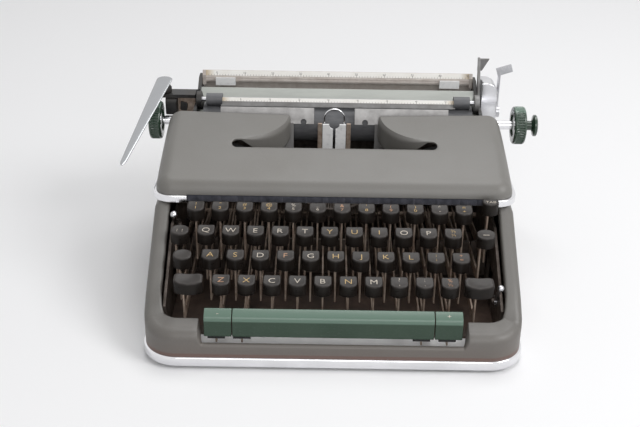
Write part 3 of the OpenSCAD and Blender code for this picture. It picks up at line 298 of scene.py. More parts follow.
def green_plastic(name, top_z, coat):
    """Dark green gloss moulding with faint cloudiness, paler close to its top: a painted highlight of the
    light that the top face catches.
    """
    plastic = Finish(name, Specular_IOR_Level=0.3, Coat_Weight=coat, Coat_Roughness=0.14)
    cloud = plastic.patches(40, 0.35, 0.7)
    rub = plastic.patches(600, 0.55, 0.8, 4, 0.6, (1, 1, 5))
    deep = plastic.mix(cloud, (0.023, 0.049, 0.030), (0.031, 0.059, 0.038))
    # Painted highlight: a pale band just under the top, for the light that falls on the top face
    top_sheen = plastic.band(plastic.along("Z"), top_z - TOP_SHEEN_DEPTHS[0], top_z - TOP_SHEEN_DEPTHS[1])
    deep = plastic.mix(top_sheen, deep, (0.118, 0.186, 0.145))
    plastic.surface(Base_Color=plastic.mix(rub * 0.3, deep, (0.060, 0.090, 0.070)))
    plastic.surface(Roughness=rub * 0.2 + 0.20)
    return plastic.material


def hard_rubber(name, dark, pale):
    """Hard rubber with a dull bloom."""
    grain = ((1600, 2), (0.00004, 0.4))
    return blotched(name, (90, 0.35, 0.75, 5, 0.6, (1, 4, 4)), dark, pale, (0.2, 0.42), grain)


def pan_paint():
    """Bottom plate: white along its front edge, where it shows under the space bar, brown inside."""
    paint = Finish("pan_paint", Roughness=0.7)
    dust = paint.patches(50, 0.35, 0.7, 5, 0.6)
    brown = paint.mix(dust, (0.060, 0.042, 0.034), (0.150, 0.100, 0.078))
    inside = paint.band(paint.along("Y"), *PAN_WHITE_Y)
    paint.surface(Base_Color=paint.mix(inside, (0.93, 0.93, 0.94), brown))
    return paint.material


def scale_enamel(name, edge_z, tick_h, span):
    """White enamel with a comb of dark ticks along its lower edge and browned ends, in millimetres.
    A tick shows where x modulo the pitch is under its width, and every tenth one is longer."""
    paint = Finish(name, Coat_Weight=0.2, Coat_Roughness=0.2, Roughness=0.35)
    pitch, stain_w = TICK_PITCH * MM, 8 * MM
    start, end = (np.array(span) + SHIFT[0]) * MM
    x = paint.along("X")
    height = paint.along("Z") - edge_z * MM
    fine = ((x + 1) % pitch < pitch * 0.16) * (height < tick_h * MM)
    tenth = ((x + 1) % (pitch * 10) < pitch * 0.22) * (height < tick_h * 1.8 * MM)
    ink = fine.larger(tenth)
    age = paint.patches(60, 0.4, 0.75)
    white = paint.mix(age, (0.90, 0.88, 0.84), (0.82, 0.79, 0.73))
    browned = paint.band(x, start + stain_w, start) + paint.band(x, end - stain_w, end)
    white = paint.mix(browned, white, (0.52, 0.40, 0.24))
    paint.surface(Base_Color=paint.mix(ink * 0.6, white, (0.09, 0.07, 0.06)))
    return paint.material


def legend_ink(name, colour):
    """Filled lettering, a little dirty."""
    return blotched(name, (700, 0.4, 0.75), colour, [0.55 * c for c in colour], Roughness=0.5)


PAINT = wrinkle_paint("cover_paint", (0.160, 0.154, 0.143), (0.140, 0.132, 0.119),
                      (0.190, 0.183, 0.172))
LOW_PAINT = wrinkle_paint("casing_paint", (0.134, 0.128, 0.119), (0.113, 0.105, 0.095),
                          (0.158, 0.152, 0.143))
TABLE = table_paint()
CHROME = plated("bright_chrome", (0.82, 0.82, 0.84), 0.07)
DULL_CHROME = plated("dull_chrome", (0.52, 0.52, 0.54), 0.22)
END_CHROME = plated("end_chrome", (0.70, 0.70, 0.72), 0.13)
LEVER_CHROME = plated("lever_chrome", (0.44, 0.45, 0.465), 0.10)
SATIN = plated("satin_plate", (0.56, 0.56, 0.58), 0.26)
STEEL = aged_steel("aged_steel", (0.48, 0.39, 0.32), (0.24, 0.165, 0.125), 0.36, 0.45)
DARK_STEEL = aged_steel("dark_steel", (0.15, 0.125, 0.11), (0.07, 0.055, 0.045), 0.40, 0.6)
RAIL_STEEL = aged_steel("rail_steel", (0.205, 0.203, 0.202), (0.175, 0.170, 0.166), 0.40, 0.3)
RAIL_PAINT = aged_steel("rail_paint", (0.62, 0.57, 0.53), (0.52, 0.46, 0.42), 0.5, 0.1)
PALE_PLATE = aged_steel("pale_plate", (0.43, 0.42, 0.415), (0.35, 0.34, 0.335), 0.36, 0.4)
# Black enamel of the inner works, with dust
BLACK = blotched("black_enamel", (80, 0.45, 0.75, 5, 0.6), (0.018, 0.017, 0.017), (0.060, 0.054, 0.048),
                 (0.25, 0.42), Metallic=0.2)
KEY = key_plastic()
GREEN = green_plastic("green_plastic", 0.125, 0.7)
GREEN_BAR = green_plastic("green_bar", 0.0395, 0.2)
RUBBER = hard_rubber("black_rubber", (0.022, 0.022, 0.024), (0.048, 0.047, 0.049))
PLATEN = hard_rubber("platen_rubber", (0.085, 0.087, 0.094), (0.140, 0.140, 0.146))
# Dark blue wool felt: a tangle of short fibres
FELT = blotched("blue_felt", (150, 0.35, 0.7, 3), (0.020, 0.022, 0.034), (0.060, 0.060, 0.078), None,
                ((900, 5, 0.7), (0.0005, 0.8)), Sheen_Weight=0.5, Sheen_Roughness=0.5, Roughness=0.95)
# White plating with grey scuffs
WHITE = blotched("white_plate", (300, 0.5, 0.75, 5, 0.65), (0.93, 0.93, 0.93), (0.70, 0.70, 0.71),
                 (0.2, 0.25), Coat_Weight=0.3)
PAN = pan_paint()
GOLD_INK = legend_ink("gold_ink", (0.60, 0.41, 0.17))
CREAM_INK = legend_ink("cream_ink", (0.66, 0.59, 0.50))
ORANGE_INK = legend_ink("orange_ink", (0.54, 0.30, 0.17))
DARK_INK = legend_ink("dark_ink", (0.06, 0.05, 0.05))


# Mesh makers
def grid(points, wrap_rows=False, wrap_columns=False):
    """A surface as points and quads, from an array of rows, columns and coordinates; a wrapped
    direction joins its last line to its first."""
    rows, columns = points.shape[:2]
    index = np.arange(rows * columns).reshape(rows, columns)
    if wrap_rows:
        index = np.vstack([index, index[:1]])
    if wrap_columns:
        index = np.hstack([index, index[:, :1]])
    quads = np.stack([index[:-1, :-1], index[1:, :-1], index[1:, 1:], index[:-1, 1:]], -1)
    return points.reshape(-1, 3), quads.reshape(-1, 4).tolist()


def capped(surface, count):
    """Closes the first and the last ring of a surface, of count points each, with a face."""
    points, faces = surface
    ring = np.arange(count)
    return points, faces + [ring.tolist(), (len(points) - 1 - ring).tolist()]


def prism(outline, start, stop, axis=0):
    """Outline carried along an axis from start to stop; it holds the other two coordinates."""
    ends = [np.insert(np.asarray(outline, float), axis, place, axis=1) for place in (start, stop)]
    return capped(grid(np.stack(ends), False, True), len(outline))


def rings(along, radius, angle, centre, axis=0):
    """Circles about an axis, by places along it and angles; centre is the other two coordinates."""
    sides = [centre[0] + radius * np.cos(angle), centre[1] + radius * np.sin(angle)]
    sides.insert(axis, along + 0 * angle)
    return grid(np.stack(sides, -1), True, False)


def turned(profile, count, centre, axis=0):
    """Profile of place along an axis and radius, turned about the axis."""
    angle = np.linspace(0, 2 * np.pi, count, endpoint=False)[:, None]
    return rings(*np.asarray(profile, float).T, angle, centre, axis)


def join(parts):
    """Several surfaces as one."""
    points, faces, start = [], [], 0
    for part_points, part_faces in parts:
        points.append(part_points)
        faces += [[start + i for i in face] for face in part_faces]
        start += len(part_points)
    return np.vstack(points), faces


def piece(name, surface, body, material, stands_for=(), closed=True, sharp=35, wear_and_top_light=None):
    """Makes a surface in millimetres from the body's own origin into an object that rides on a body."""
    points, faces = surface
    mesh = bpy.data.meshes.new(name)
    mesh.from_pydata(((points + SHIFT) * MM).tolist(), [], faces)
    if wear_and_top_light is not None:
        mesh.attributes.new("wear_and_top_light", "FLOAT", "POINT").data.foreach_set("value", wear_and_top_light.astype(np.float32))
    work = bmesh.new()
    work.from_mesh(mesh)
    bmesh.ops.remove_doubles(work, verts=work.verts, dist=1e-7)
    bmesh.ops.dissolve_degenerate(work, edges=work.edges, dist=1e-7)
    if closed:
        bmesh.ops.recalc_face_normals(work, faces=work.faces)
    work.to_mesh(mesh)
    work.free()
    mesh.shade_smooth()
    mesh.set_sharp_from_angle(angle=math.radians(sharp))
    mesh.materials.append(material)
    made = bpy.data.objects.new(name, mesh)
    scene.collection.objects.link(made)
    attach(made, body)
    if stands_for:
        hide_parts(*stands_for)
    return made


def lettering(name, signs, body, ink):
    """Signs as one piece, with crisp edges."""
    piece(name, join(signs), body, ink, sharp=20)


def bevelled(obj, width):
    """Rounds an object's sharp edges; width is in millimetres."""
    edge = obj.modifiers.new("rounding", "BEVEL")
    edge.width = width * MM
    edge.segments = 3
    edge.limit_method = "ANGLE"
    edge.angle_limit = math.radians(50)
    edge.harden_normals = True


def smooth(share):
    """Smooth step: 3t squared less 2t cubed, with t held between 0 and 1."""
    t = np.clip(share, 0, 1)
    return t * t * (3 - 2 * t)


def ramp(value, low, high):
    """Share of the way from low to high, held between 0 and 1."""
    return np.clip((value - low) / (high - low), 0, 1)


def arc(centre, radius, start, stop, count):
    """Points on a circle from one angle to another, in degrees."""
    angle = np.radians(np.linspace(start, stop, count))
    return np.stack([centre[0] + radius * np.cos(angle), centre[1] + radius * np.sin(angle)], -1)


def power(wave, exponent):
    """A sine or cosine raised to a power, with its sign kept: it squares off a round."""
    return np.sign(wave) * np.abs(wave) ** exponent


def rectangle(first, second):
    """Corners of a rectangle from its two ranges."""
    return [[first[0], second[0]], [first[1], second[0]], [first[1], second[1]], [first[0], second[1]]]


def rounded_outline(corners, reaches):
    """Closed outline whose corners become parabolic arcs, each with its own reach."""
    corners = np.asarray(corners, float)
    t = np.linspace(0, 1, 6)[:, None]
    parts = []
    previous, following = np.roll(corners, 1, 0), np.roll(corners, -1, 0)
    for before, tip, after, reach in zip(previous, corners, following, reaches):
        start, end = (tip + (p - tip) / np.linalg.norm(p - tip) * reach for p in (before, after))
        parts.append((1 - t) ** 2 * start + 2 * t * (1 - t) * tip + t ** 2 * end)
    return np.vstack(parts)


# Casing and base: where the deck steps down behind the cover, and where its shoulders fall, counted
# forwards from the body's origin
STEP_Y = (COVER_REAR + COVER_SWEEP, COVER_REAR + COVER_SWEEP + 5)
FALL_Y = (CASING_FRONT - SHOULDER_W - 20, CASING_FRONT - 5)
FRONT_FLAT = CASING_HALF - FRONT_CORNER
SIDE_Y = np.unique(np.concatenate([
    np.linspace(CASING_REAR - REAR_CORNER, -CASING_FRONT + FRONT_CORNER, 48),
    np.linspace(*STEP_Y, 9), [COVER_FRONT]]))[::-1]
NOTCH_X = np.linspace(NOTCH_HALF, NOTCH_HALF + NOTCH_BLEND, 12)
FRONT_X = np.unique(np.concatenate([np.linspace(-FRONT_FLAT, FRONT_FLAT, 60), NOTCH_X, -NOTCH_X]))
CORNER_STEPS = 22
REAR_STEPS = 12


def corner(x, y, radius, start, steps=CORNER_STEPS):
    """Quarter circle round a place, without its ends: x, y and the angle outwards."""
    angle = np.linspace(start, start + 90, steps)[1:-1]
    return x + radius * np.cos(np.radians(angle)), y + radius * np.sin(np.radians(angle)), angle


def path(stretches):
    """Path in plan from stretches of x, y and the angle outwards: places and directions inwards."""
    x, y, angle = np.hstack([np.broadcast_arrays(*stretch) for stretch in stretches])
    return x, y, -np.cos(np.radians(angle)), -np.sin(np.radians(angle))


def plan_path(grow=0.0):
    """Plan outline of the body, anticlockwise from the left rear."""
    half, front, rear = CASING_HALF + grow, CASING_FRONT + grow, CASING_REAR + grow
    front_r, rear_r = FRONT_CORNER + grow, REAR_CORNER + grow
    return path([
        (-half, SIDE_Y, 180),
        corner(front_r - half, front_r - front, front_r, 180),
        (FRONT_X, -front, 270),
        corner(half - front_r, front_r - front, front_r, 270),
        (half, SIDE_Y[::-1], 360),
        corner(half - rear_r, rear - rear_r, rear_r, 0),
        (np.linspace(half - rear_r, rear_r - half, REAR_STEPS), rear, 90),
        corner(rear_r - half, rear - rear_r, rear_r, 90),
    ])


def along_plan(line, inset, height):
    """Points at an inset and a height from each place on a path in plan."""
    x, y, nx, ny = (column[:, None] for column in line)
    return np.stack([x + nx * inset, y + ny * inset, height + 0 * x], -1)


def casing_surface():
    """At each place on the plan outline the wall rises, rounds over into the rail and turns down
    in a lip, and the sheet's inner face follows it back; the rail's height climbs from the front
    shoulders to the deck, drops behind the cover, and dips to the notch in front."""
    x, y, nx, ny = plan_path()
    rail_front = -CASING_FRONT + SHOULDER_W
    deck = SHOULDER_Z + (DECK_Z - SHOULDER_Z) * ramp(y, rail_front, COVER_FRONT)
    back = DECK_Z + (REAR_Z - DECK_Z) * smooth(ramp(y, *STEP_Y))
    side_z = np.where(y > STEP_Y[0], back, deck)
    dip = 1 - smooth(ramp(np.abs(x), NOTCH_HALF, NOTCH_HALF + NOTCH_BLEND))
    notch = np.where(y < rail_front, dip, 0)
    front = ramp(-y, *FALL_Y)
    inner_z = side_z * (1 - notch) + NOTCH_Z * notch
    outer_z = inner_z - SHOULDER_FALL * front * (1 - notch)
    width = (RAIL_W * (1 - front) + SHOULDER_W * front) * (1 - notch) + NOTCH_EDGE * notch
    r = np.minimum(EDGE_R, width * EDGE_SHARE)
    q = np.minimum(LIP_R, width * LIP_SHARE)
    slope = (inner_z - outer_z) / (width - r)
    t = CASING_WALL
    over = np.radians(np.linspace(180, 90, 10))
    down = np.radians(np.linspace(90, 0, 6))
    crest = inner_z - q * slope
    columns = [(0 * x, 0 * x + TRIM_TOP)]
    columns += [(r + r * np.cos(a), outer_z - r + r * np.sin(a)) for a in over]
    columns += [(width - q + q * np.cos(a), crest - q + q * np.sin(a)) for a in down]
    columns += [(width, inner_z - LIP_H), (width - t, inner_z - LIP_H), (width - t, crest - q)]
    columns += [(width - q - t * 0.3, crest - t)]
    columns += [(r + (r - t) * np.cos(a), outer_z - r + (r - t) * np.sin(a)) for a in over[::-1]]
    columns += [(0 * x + t, 0 * x + TRIM_TOP)]
    inset, height = (np.stack(column, -1) for column in zip(*columns))
    return grid(along_plan((x, y, nx, ny), inset, height), True, True)


def carried(line, section, closed_line):
    """Closed section of inset and height carried along a path in plan."""
    surface = grid(along_plan(line, *section.T), closed_line, True)
    return surface if closed_line else capped(surface, len(section))


def rounded_section(inset, height, radius):
    """Rectangle of inset and height with rounded corners."""
    near, far = inset[0] + radius, inset[1] - radius
    low, high = height[0] + radius, height[1] - radius
    corners = [((far, low), 270), ((far, high), 0), ((near, high), 90), ((near, low), 180)]
    return np.vstack([arc(middle, radius, start, start + 90, 5) for middle, start in corners])


piece("casing_shell", casing_surface(), "chassis", LOW_PAINT, ["lower_casing"])
trim_low, trim_high = box_mm("base_trim")
TRIM_OUT = trim_high[0] - CASING_HALF
TRIM_R = 1.3
PAN_Z = (5, 6.6)
trim_section = rounded_section((-TRIM_OUT, CASING_WALL), (trim_low[2], trim_high[2]), TRIM_R)
base_band = carried(plan_path(), trim_section, True)
piece("base_band", base_band, "chassis", CHROME, ["base_trim"])
pan_outline = np.stack(plan_path(-CASING_WALL)[:2], -1)
piece("base_pan", prism(pan_outline, *PAN_Z, axis=2), "chassis", PAN)

# Ribbon cover: its opening has a wing and a tail at each side
OPENING_FRONT = -4.5
TAIL_X = 86
TAIL_R = 6
TAIL_Y = 9
WING_TIP_X = 39
LIP_TIP_X = 37
LIP_BEND = 16
LIP_TIP_H = 13.5
LIP_LOW_Z = 99.5
LIP_FADE = ((58, 101.5), (80, 120))
ROLL_IN = 1.6
# Stretches of the cover's outer edge, from the left rear: beside the wing, beside the tail, round the
# corner, along the front to the tail, and along the front between the tails
WING_SIDE_Y = 22
TAIL_FRONT_X = 84
EDGE_STEPS = (44, 30, 18, 16, 80)


def cover_top(y):
    """Height of the crowned top: a straight rise to the rear plus a parabola."""
    t = (y - COVER_SHOULDER_Y) / (COVER_REAR - COVER_SHOULDER_Y)
    return COVER_SHOULDER_Z + (COVER_REAR_Z - COVER_SHOULDER_Z) * t + COVER_CROWN * 4 * t * (1 - t)


def cover_edge():
    """Outer edge of the cover in plan, from the left rear round the front to the right rear."""
    wing, tail, bend, front, middle = EDGE_STEPS
    bend_x, bend_y = cover_half - COVER_CORNER, COVER_FRONT + COVER_CORNER
    side_y = np.concatenate([np.linspace(COVER_REAR + COVER_SWEEP, WING_SIDE_Y, wing),
                             np.linspace(WING_SIDE_Y, bend_y, tail + 1)[1:]])
    front_x = np.linspace(bend_x, TAIL_FRONT_X, front)
    middle_x = np.linspace(-TAIL_FRONT_X, TAIL_FRONT_X, middle + 2)[1:-1]
    return path([
        (-cover_half, side_y, 180),
        corner(-bend_x, bend_y, COVER_CORNER, 180, bend + 2),
        (np.concatenate([-front_x, middle_x, front_x[::-1]]), COVER_FRONT, 270),
        corner(bend_x, bend_y, COVER_CORNER, 270, bend + 2),
        (cover_half, side_y[::-1], 360),
    ])


def lip_depth(x, y):
    """How far the lip hangs below the opening's edge: its lower edge is a quarter of an ellipse at the
    wing tip, then rises in straight lines to the tail, where only the rolled edge is left."""
    bend = np.sqrt(np.clip(1 - ((LIP_TIP_X + LIP_BEND - x) / LIP_BEND) ** 2, 0, 1))
    tip = LIP_LOW_Z + LIP_TIP_H * (1 - bend)
    fade_x, fade_z = zip((LIP_TIP_X + LIP_BEND, LIP_LOW_Z), *LIP_FADE)
    lower = np.where(x < LIP_TIP_X + LIP_BEND, tip, np.interp(x, fade_x, fade_z))
    return np.maximum(cover_top(y) - lower, COVER_WALL)


def opening_edge(outer_x, outer_y):
    """Edge of the opening and how far it hangs, matched point for point to the outer edge. Each wing
    is a quarter of an ellipse from its tip to the tail. The tail is half an ellipse, whose angle
    follows the angle at which the outer edge is seen from the tail's middle. The front is straight."""
    wing, tail, bend, front, middle = EDGE_STEPS
    root_x = TAIL_X - TAIL_R
    tail_mid, tail_half = (TAIL_Y + OPENING_FRONT) / 2, (TAIL_Y - OPENING_FRONT) / 2
    turn = np.radians(np.linspace(90, 0, wing))
    wing_x = WING_TIP_X + (root_x - WING_TIP_X) * (1 - np.sin(turn))
    wing_y = TAIL_Y + (COVER_REAR - TAIL_Y) * (1 - np.cos(turn))
    round_tail = slice(wing, wing + tail + bend + front)
    seen = np.degrees(np.arctan2(outer_y[round_tail] - tail_mid, outer_x[round_tail] + root_x)) % 360
    first = np.degrees(np.arctan2(WING_SIDE_Y - tail_mid, root_x - cover_half)) % 360
    angle = np.radians(90 + (seen - first) / (seen[-1] - first) * 180)
    tail_x = root_x - TAIL_R * np.cos(angle)
    tail_y = tail_mid + tail_half * np.sin(angle)
    front_x = np.linspace(-root_x, root_x, middle + 2)[1:-1]
    half = np.hstack([(wing_x, wing_y, lip_depth(wing_x, wing_y)),
                      np.broadcast_arrays(tail_x, tail_y, COVER_WALL)])
    left = np.stack([-half[0], half[1], half[2]])
    return np.hstack([left, np.broadcast_arrays(front_x, OPENING_FRONT, COVER_WALL), half[:, ::-1]])


def cover_surface():
    """Sheet between the outer edge and the opening's edge: a wall, a rounded shoulder, the crowned
    top along straight lines between the two edges, and the lip that droops from the wings."""
    x, y, nx, ny = cover_edge()
    ix, iy, depth = opening_edge(x, y)
    radius = np.minimum(COVER_FILLET, cover_top(y) - COVER_LOW_Z - 0.4)
    columns = [(x, y, 0 * x + COVER_LOW_Z)]
    for a in np.radians(np.linspace(0, 90, 11)):
        inset = radius * (1 - np.cos(a))
        px, py = x + nx * inset, y + ny * inset
        columns.append((px, py, cover_top(py) - radius * (1 - np.sin(a))))
    qx, qy = x + nx * radius, y + ny * radius
    for t in np.linspace(0, 1, 19)[1:]:
        px, py = qx + (ix - qx) * t, qy + (iy - qy) * t
        columns.append((px, py, cover_top(py)))
    hx, hy = -np.gradient(iy), np.gradient(ix)
    length = np.hypot(hx, hy)
    for k in np.linspace(0, 1, 14)[1:]:
        roll = ROLL_IN * np.sin(min(1, k * 4) * math.pi / 2) / length
        columns.append((ix + hx * roll, iy + hy * roll, cover_top(iy) - depth * k))
    return grid(np.stack([np.stack(column, -1) for column in columns], 1))


cover = piece("cover_shell", cover_surface(), "cover", PAINT, ["ribbon_cover"], closed=False)
thick = cover.modifiers.new("thickness", "SOLIDIFY")
thick.thickness = COVER_WALL * MM
thick.offset = -1

# Ears under the cover's rear edge, on the frame's hinge pins
HINGE_Y = COVER_REAR - 3
HINGE_Z = COVER_REAR_Z - 5.7
EAR_R = 3.4
EAR_ROOT_Y = (HINGE_Y + 2.4, HINGE_Y - 3)
EAR_OUT = FRAME_IN + 5.5
EAR_HALF = 1.5
ear_outline = np.vstack([arc((HINGE_Y, HINGE_Z), EAR_R, 180, 360, 14),
                         [(y, COVER_REAR_Z - COVER_WALL) for y in EAR_ROOT_Y]])
ears = [prism(ear_outline, x - EAR_HALF, x + EAR_HALF) for x in (-EAR_OUT, EAR_OUT)]
piece("cover_ears", join(ears), "cover", PAINT)

# Bright strips and felt under the cover
strip_low, strip_high = box_mm("cover_trim")
felt_low, felt_high = box_mm("felt_strip")
STRIP_OUT = strip_high[0] - cover_half
STRIP_R = 1.0
FELT_IN = 0.3
FELT_STEPS = 160


def strip_path(side):
    """Cover edge from the rear corner to the end of the felt, on one side."""
    edge = cover_edge()
    felt_end = felt_high[0] if side > 0 else -felt_low[0]
    return [column[side * edge[0] > felt_end] for column in edge]


strip_section = rounded_section((-STRIP_OUT, COVER_WALL), (strip_low[2], strip_high[2]), STRIP_R)
strips = [carried(strip_path(side), strip_section, False) for side in (-1, 1)]
piece("cover_strips", join(strips), "cover", CHROME, ["cover_trim"])
felt_x = np.linspace(felt_low[0], felt_high[0], FELT_STEPS)
felt_y = felt_low[1] + 0.25 * np.sin(felt_x * 0.9) + 0.2 * np.sin(felt_x * 2.3)
felt_path = (felt_x, felt_y, 0 * felt_x, 0 * felt_x + 1)
felt_section = rounded_section((FELT_IN, felt_high[1] - felt_low[1]), (felt_low[2] + 0.1, felt_high[2]),
                               STRIP_R)
piece("felt_seal", carried(felt_path, felt_section, False), "cover", FELT, ["felt_strip"])

# Keys
KEY_SLOPE = 0.19
KEY_BOW = 3.4
KEY_RIM = 1.1
KEY_FOOT = 0.4
KEY_SQUARE = 0.26
DISH = 0.9
DISH_R = 45
FULCRUM = np.array([40, 34])
LEVER_T = 1.2
POST_HALF = 3


def key_top(x, y, depth):
    """Height of a key's top over its front edge, from the key's middle: it slopes up to the rear and
    is dished as part of a sphere."""
    return KEY_SLOPE * (y + depth / 2) - np.maximum(0, DISH - (x ** 2 + y ** 2) / (2 * DISH_R))


def cap_surface(x, y_front, z_top, width, depth, height, round_back=False):
    """Key: a squircle whose front bows forward by a parabola, a straight skirt, a rounded rim and the
    dished top. Returns the surface and each point's share of the paler top colour, which is partly wear and
    partly painted light on the top face."""
    a, b, rim = width / 2, depth / 2, KEY_RIM
    angle = np.linspace(0, 2 * np.pi, 60, endpoint=False)
    cx, cy = a * power(np.cos(angle), KEY_SQUARE), b * power(np.sin(angle), KEY_SQUARE)
    bow = KEY_BOW * (cx / a) ** 2
    cy = cy + bow * np.clip(-cy / b, 0, 1)
    if round_back:
        cy = cy - bow * np.clip(cy / b, 0, 1)
    # Rings from the foot up: share of the outline, drop below the top or none, height of the skirt
    levels = [(0, None, 0), (1 - KEY_FOOT / b, None, 0), (1, None, KEY_FOOT)]
    levels += [(1, None, height - rim - DISH)]
    rounds = np.radians(np.linspace(0, 90, 6))
    levels += [(1 - rim * (1 - np.cos(r)) / b, rim * (1 - np.sin(r)), 0) for r in rounds]
    levels += [(s, 0, 0) for s in np.linspace(1 - rim / b, 0, 7)[1:]]
    ring_points, worn_and_top_lit = [], []
    for share, drop, z in levels:
        px, py = cx * share, cy * share
        pz = np.full_like(px, z) if drop is None else height + key_top(px, py, depth) - drop
        ring_points.append(np.stack([x + px, y_front + b + py, z_top - height + pz], -1))
        # Share of the paler top colour, none on the skirt and all on the top: partly wear, partly painted
        # light
        worn_and_top_lit.append(np.full_like(px, 0 if drop is None else 1 - 0.8 * drop / rim))
    return grid(np.stack(ring_points), False, True), np.concatenate(worn_and_top_lit)


def key_lever(x, y, foot_z, top_z):
    """Flat lever from the fulcrum to a post under the key."""
    near, far = y - POST_HALF, y + POST_HALF
    eye = FULCRUM + [[9, -4], [9, 4], [-6, 4.5]]
    post = [[far + 4, foot_z + 4], [far, foot_z + 8], [far, top_z], [near, top_z], [near, foot_z - 4]]
    return prism(np.vstack([eye, post, [FULCRUM + [-6, -4.5]]]), x - LEVER_T / 2, x + LEVER_T / 2)


LETTER_CAPITAL = 0.69
letters = {}


def letter_shape(words):
    """Outline of a sign as a thin solid, centred, one unit high for a capital."""
    if words not in letters:
        curve = bpy.data.curves.new("letters", "FONT")
        curve.body = words
        curve.extrude = 0.02
        curve.offset = -0.012
        curve.resolution_u = 3
        holder = bpy.data.objects.new("letters", curve)
        scene.collection.objects.link(holder)
        mesh = bpy.data.meshes.new_from_object(holder.evaluated_get(bpy.context.evaluated_depsgraph_get()))
        points = np.empty(len(mesh.vertices) * 3)
        mesh.vertices.foreach_get("co", points)
        points = points.reshape(-1, 3) / LETTER_CAPITAL
        points[:, 0] -= (points[:, 0].min() + points[:, 0].max()) / 2
        points[:, 1] -= 0.5
        letters[words] = points, [list(p.vertices) for p in mesh.polygons]
        bpy.data.objects.remove(holder)
        bpy.data.meshes.remove(mesh)
        bpy.data.curves.remove(curve)
    return letters[words]


def flat_sign(words, middle, axes):
    """A sign on a flat face; axes are what a letter's width, height and thickness become."""
    points, faces = letter_shape(words)
    return middle + points @ np.array(axes), faces


def legend(words, key, shift, height, stretch=1.15):
    """A sign that lies on a key top. The key is its middle, the height of its front edge and its depth;
    shift is how far behind the middle the sign's own middle lies."""
    (x, y, z_top, depth), (points, faces) = key, letter_shape(words)
    across, back = points[:, 0] * height * stretch, shift + points[:, 1] * height
    rise = key_top(across, back, depth) + 0.05 + points[:, 2] * 2
    return np.column_stack([x + across, y + back, z_top + rise]), faces


KEY_ROWS = {
    "bottom_row": ["Z", "X", "C", "V", "B", "N", "M", "?,", ":.", "%½"],
    "home_row": ["A", "S", "D", "F", "G", "H", "J", "K", "L", ":;", "+="],
    "top_row": ["Q", "W", "E", "R", "T", "Y", "U", "I", "O", "P", "¾¼"],
    "number_row": ["!1", "\"2", "#3", "@4", "%5", "_6", "&7", "'8", "(9", ")0", "*-", "=+"],
}
INKS = [GOLD_INK, CREAM_INK, ORANGE_INK]
INK_SHARES = [0.42, 0.46, 0.12]
LETTER_H, SIGN_H = 5.0, 3.2
LETTER_SHIFT, UPPER_SHIFT, LOWER_SHIFT = 0.2, 2.9, -1.7
for row, signs in KEY_ROWS.items():
    low, high = box_mm(row + "_caps")
    pitch = (high[0] - low[0] - KEY_W) / (len(signs) - 1)
    caps, worn_and_top_lit, marks = [], [], {ink.name: [] for ink in INKS}
    for i, sign in enumerate(signs):
        x = low[0] + KEY_W / 2 + i * pitch
        surface, wear_and_top_light = cap_surface(x, low[1], high[2], KEY_W, KEY_D, KEY_H)
        caps.append(surface)
        # Each key takes a random part of its paler top colour
        worn_and_top_lit.append(wear_and_top_light * draw.uniform(0.7, 1.0))
        ink = INKS[draw.choice(3, p=INK_SHARES)].name
        key = (x, low[1] + KEY_D / 2, high[2], KEY_D)
        if len(sign) == 1:
            marks[ink].append(legend(sign, key, LETTER_SHIFT, LETTER_H))
        else:
            marks[ink].append(legend(sign[0], key, UPPER_SHIFT, SIGN_H))
            marks[ink].append(legend(sign[1], key, LOWER_SHIFT, SIGN_H))
    piece(row + "_key_tops", join(caps), row, KEY, [row + "_caps"], wear_and_top_light=np.concatenate(worn_and_top_lit))
    for ink in INKS:
        if marks[ink.name]:
            lettering(row + "_" + ink.name, marks[ink.name], row, ink)

# Keys beside the rows: node, lever place, lever foot, key depth, key height, rounded back
TAB_D, TAB_H = 8, 11
POST_IN = 5
SIDE_KEYS = [
    ("left_shift_key", -FRAME_IN + 14.5, 27, KEY_D, KEY_H, False),
    ("right_shift_key", FRAME_IN - 20.5, 27, KEY_D, KEY_H, False),
    ("shift_lock_key", -FRAME_IN + 10, 34, KEY_D, KEY_H, True),
    ("margin_release_key", -FRAME_IN + 5, 41, KEY_D, KEY_H, True),
    ("backspace_key", FRAME_IN - 14, 41, KEY_D, KEY_H, True),
    ("tab_key", FRAME_IN - 7, 48, TAB_D, TAB_H, False),
]
for node, lever_x, foot_z, depth, height, round_back in SIDE_KEYS:
    low, high = box_mm(node)
    x = (low[0] + high[0]) / 2
    surface, wear_and_top_light = cap_surface(x, low[1], high[2], high[0] - low[0], depth, height, round_back)
    piece(node + "_top", surface, node, KEY, [node], wear_and_top_light=wear_and_top_light)
    lever = key_lever(lever_x, low[1] + depth / 2, foot_z, high[2] - height + POST_IN)
    piece(node + "_lever", lever, node, STEEL)

# Signs on those keys: node, sign, key depth, sign height, sign stretch
SIDE_SIGNS = [
    ("margin_release_key", ": :", KEY_D, 3.8, 1.5),
    ("tab_key", "TAB", TAB_D, 2.4, 1.3),
    ("backspace_key", "-", KEY_D, 5, 3.0),
]
for node, sign, depth, height, stretch in SIDE_SIGNS:
    low, high = box_mm(node)
    key = ((low[0] + high[0]) / 2, low[1] + depth / 2, high[2], depth)
    lettering(node + "_mark", [legend(sign, key, 0, height, stretch)], node, CREAM_INK)

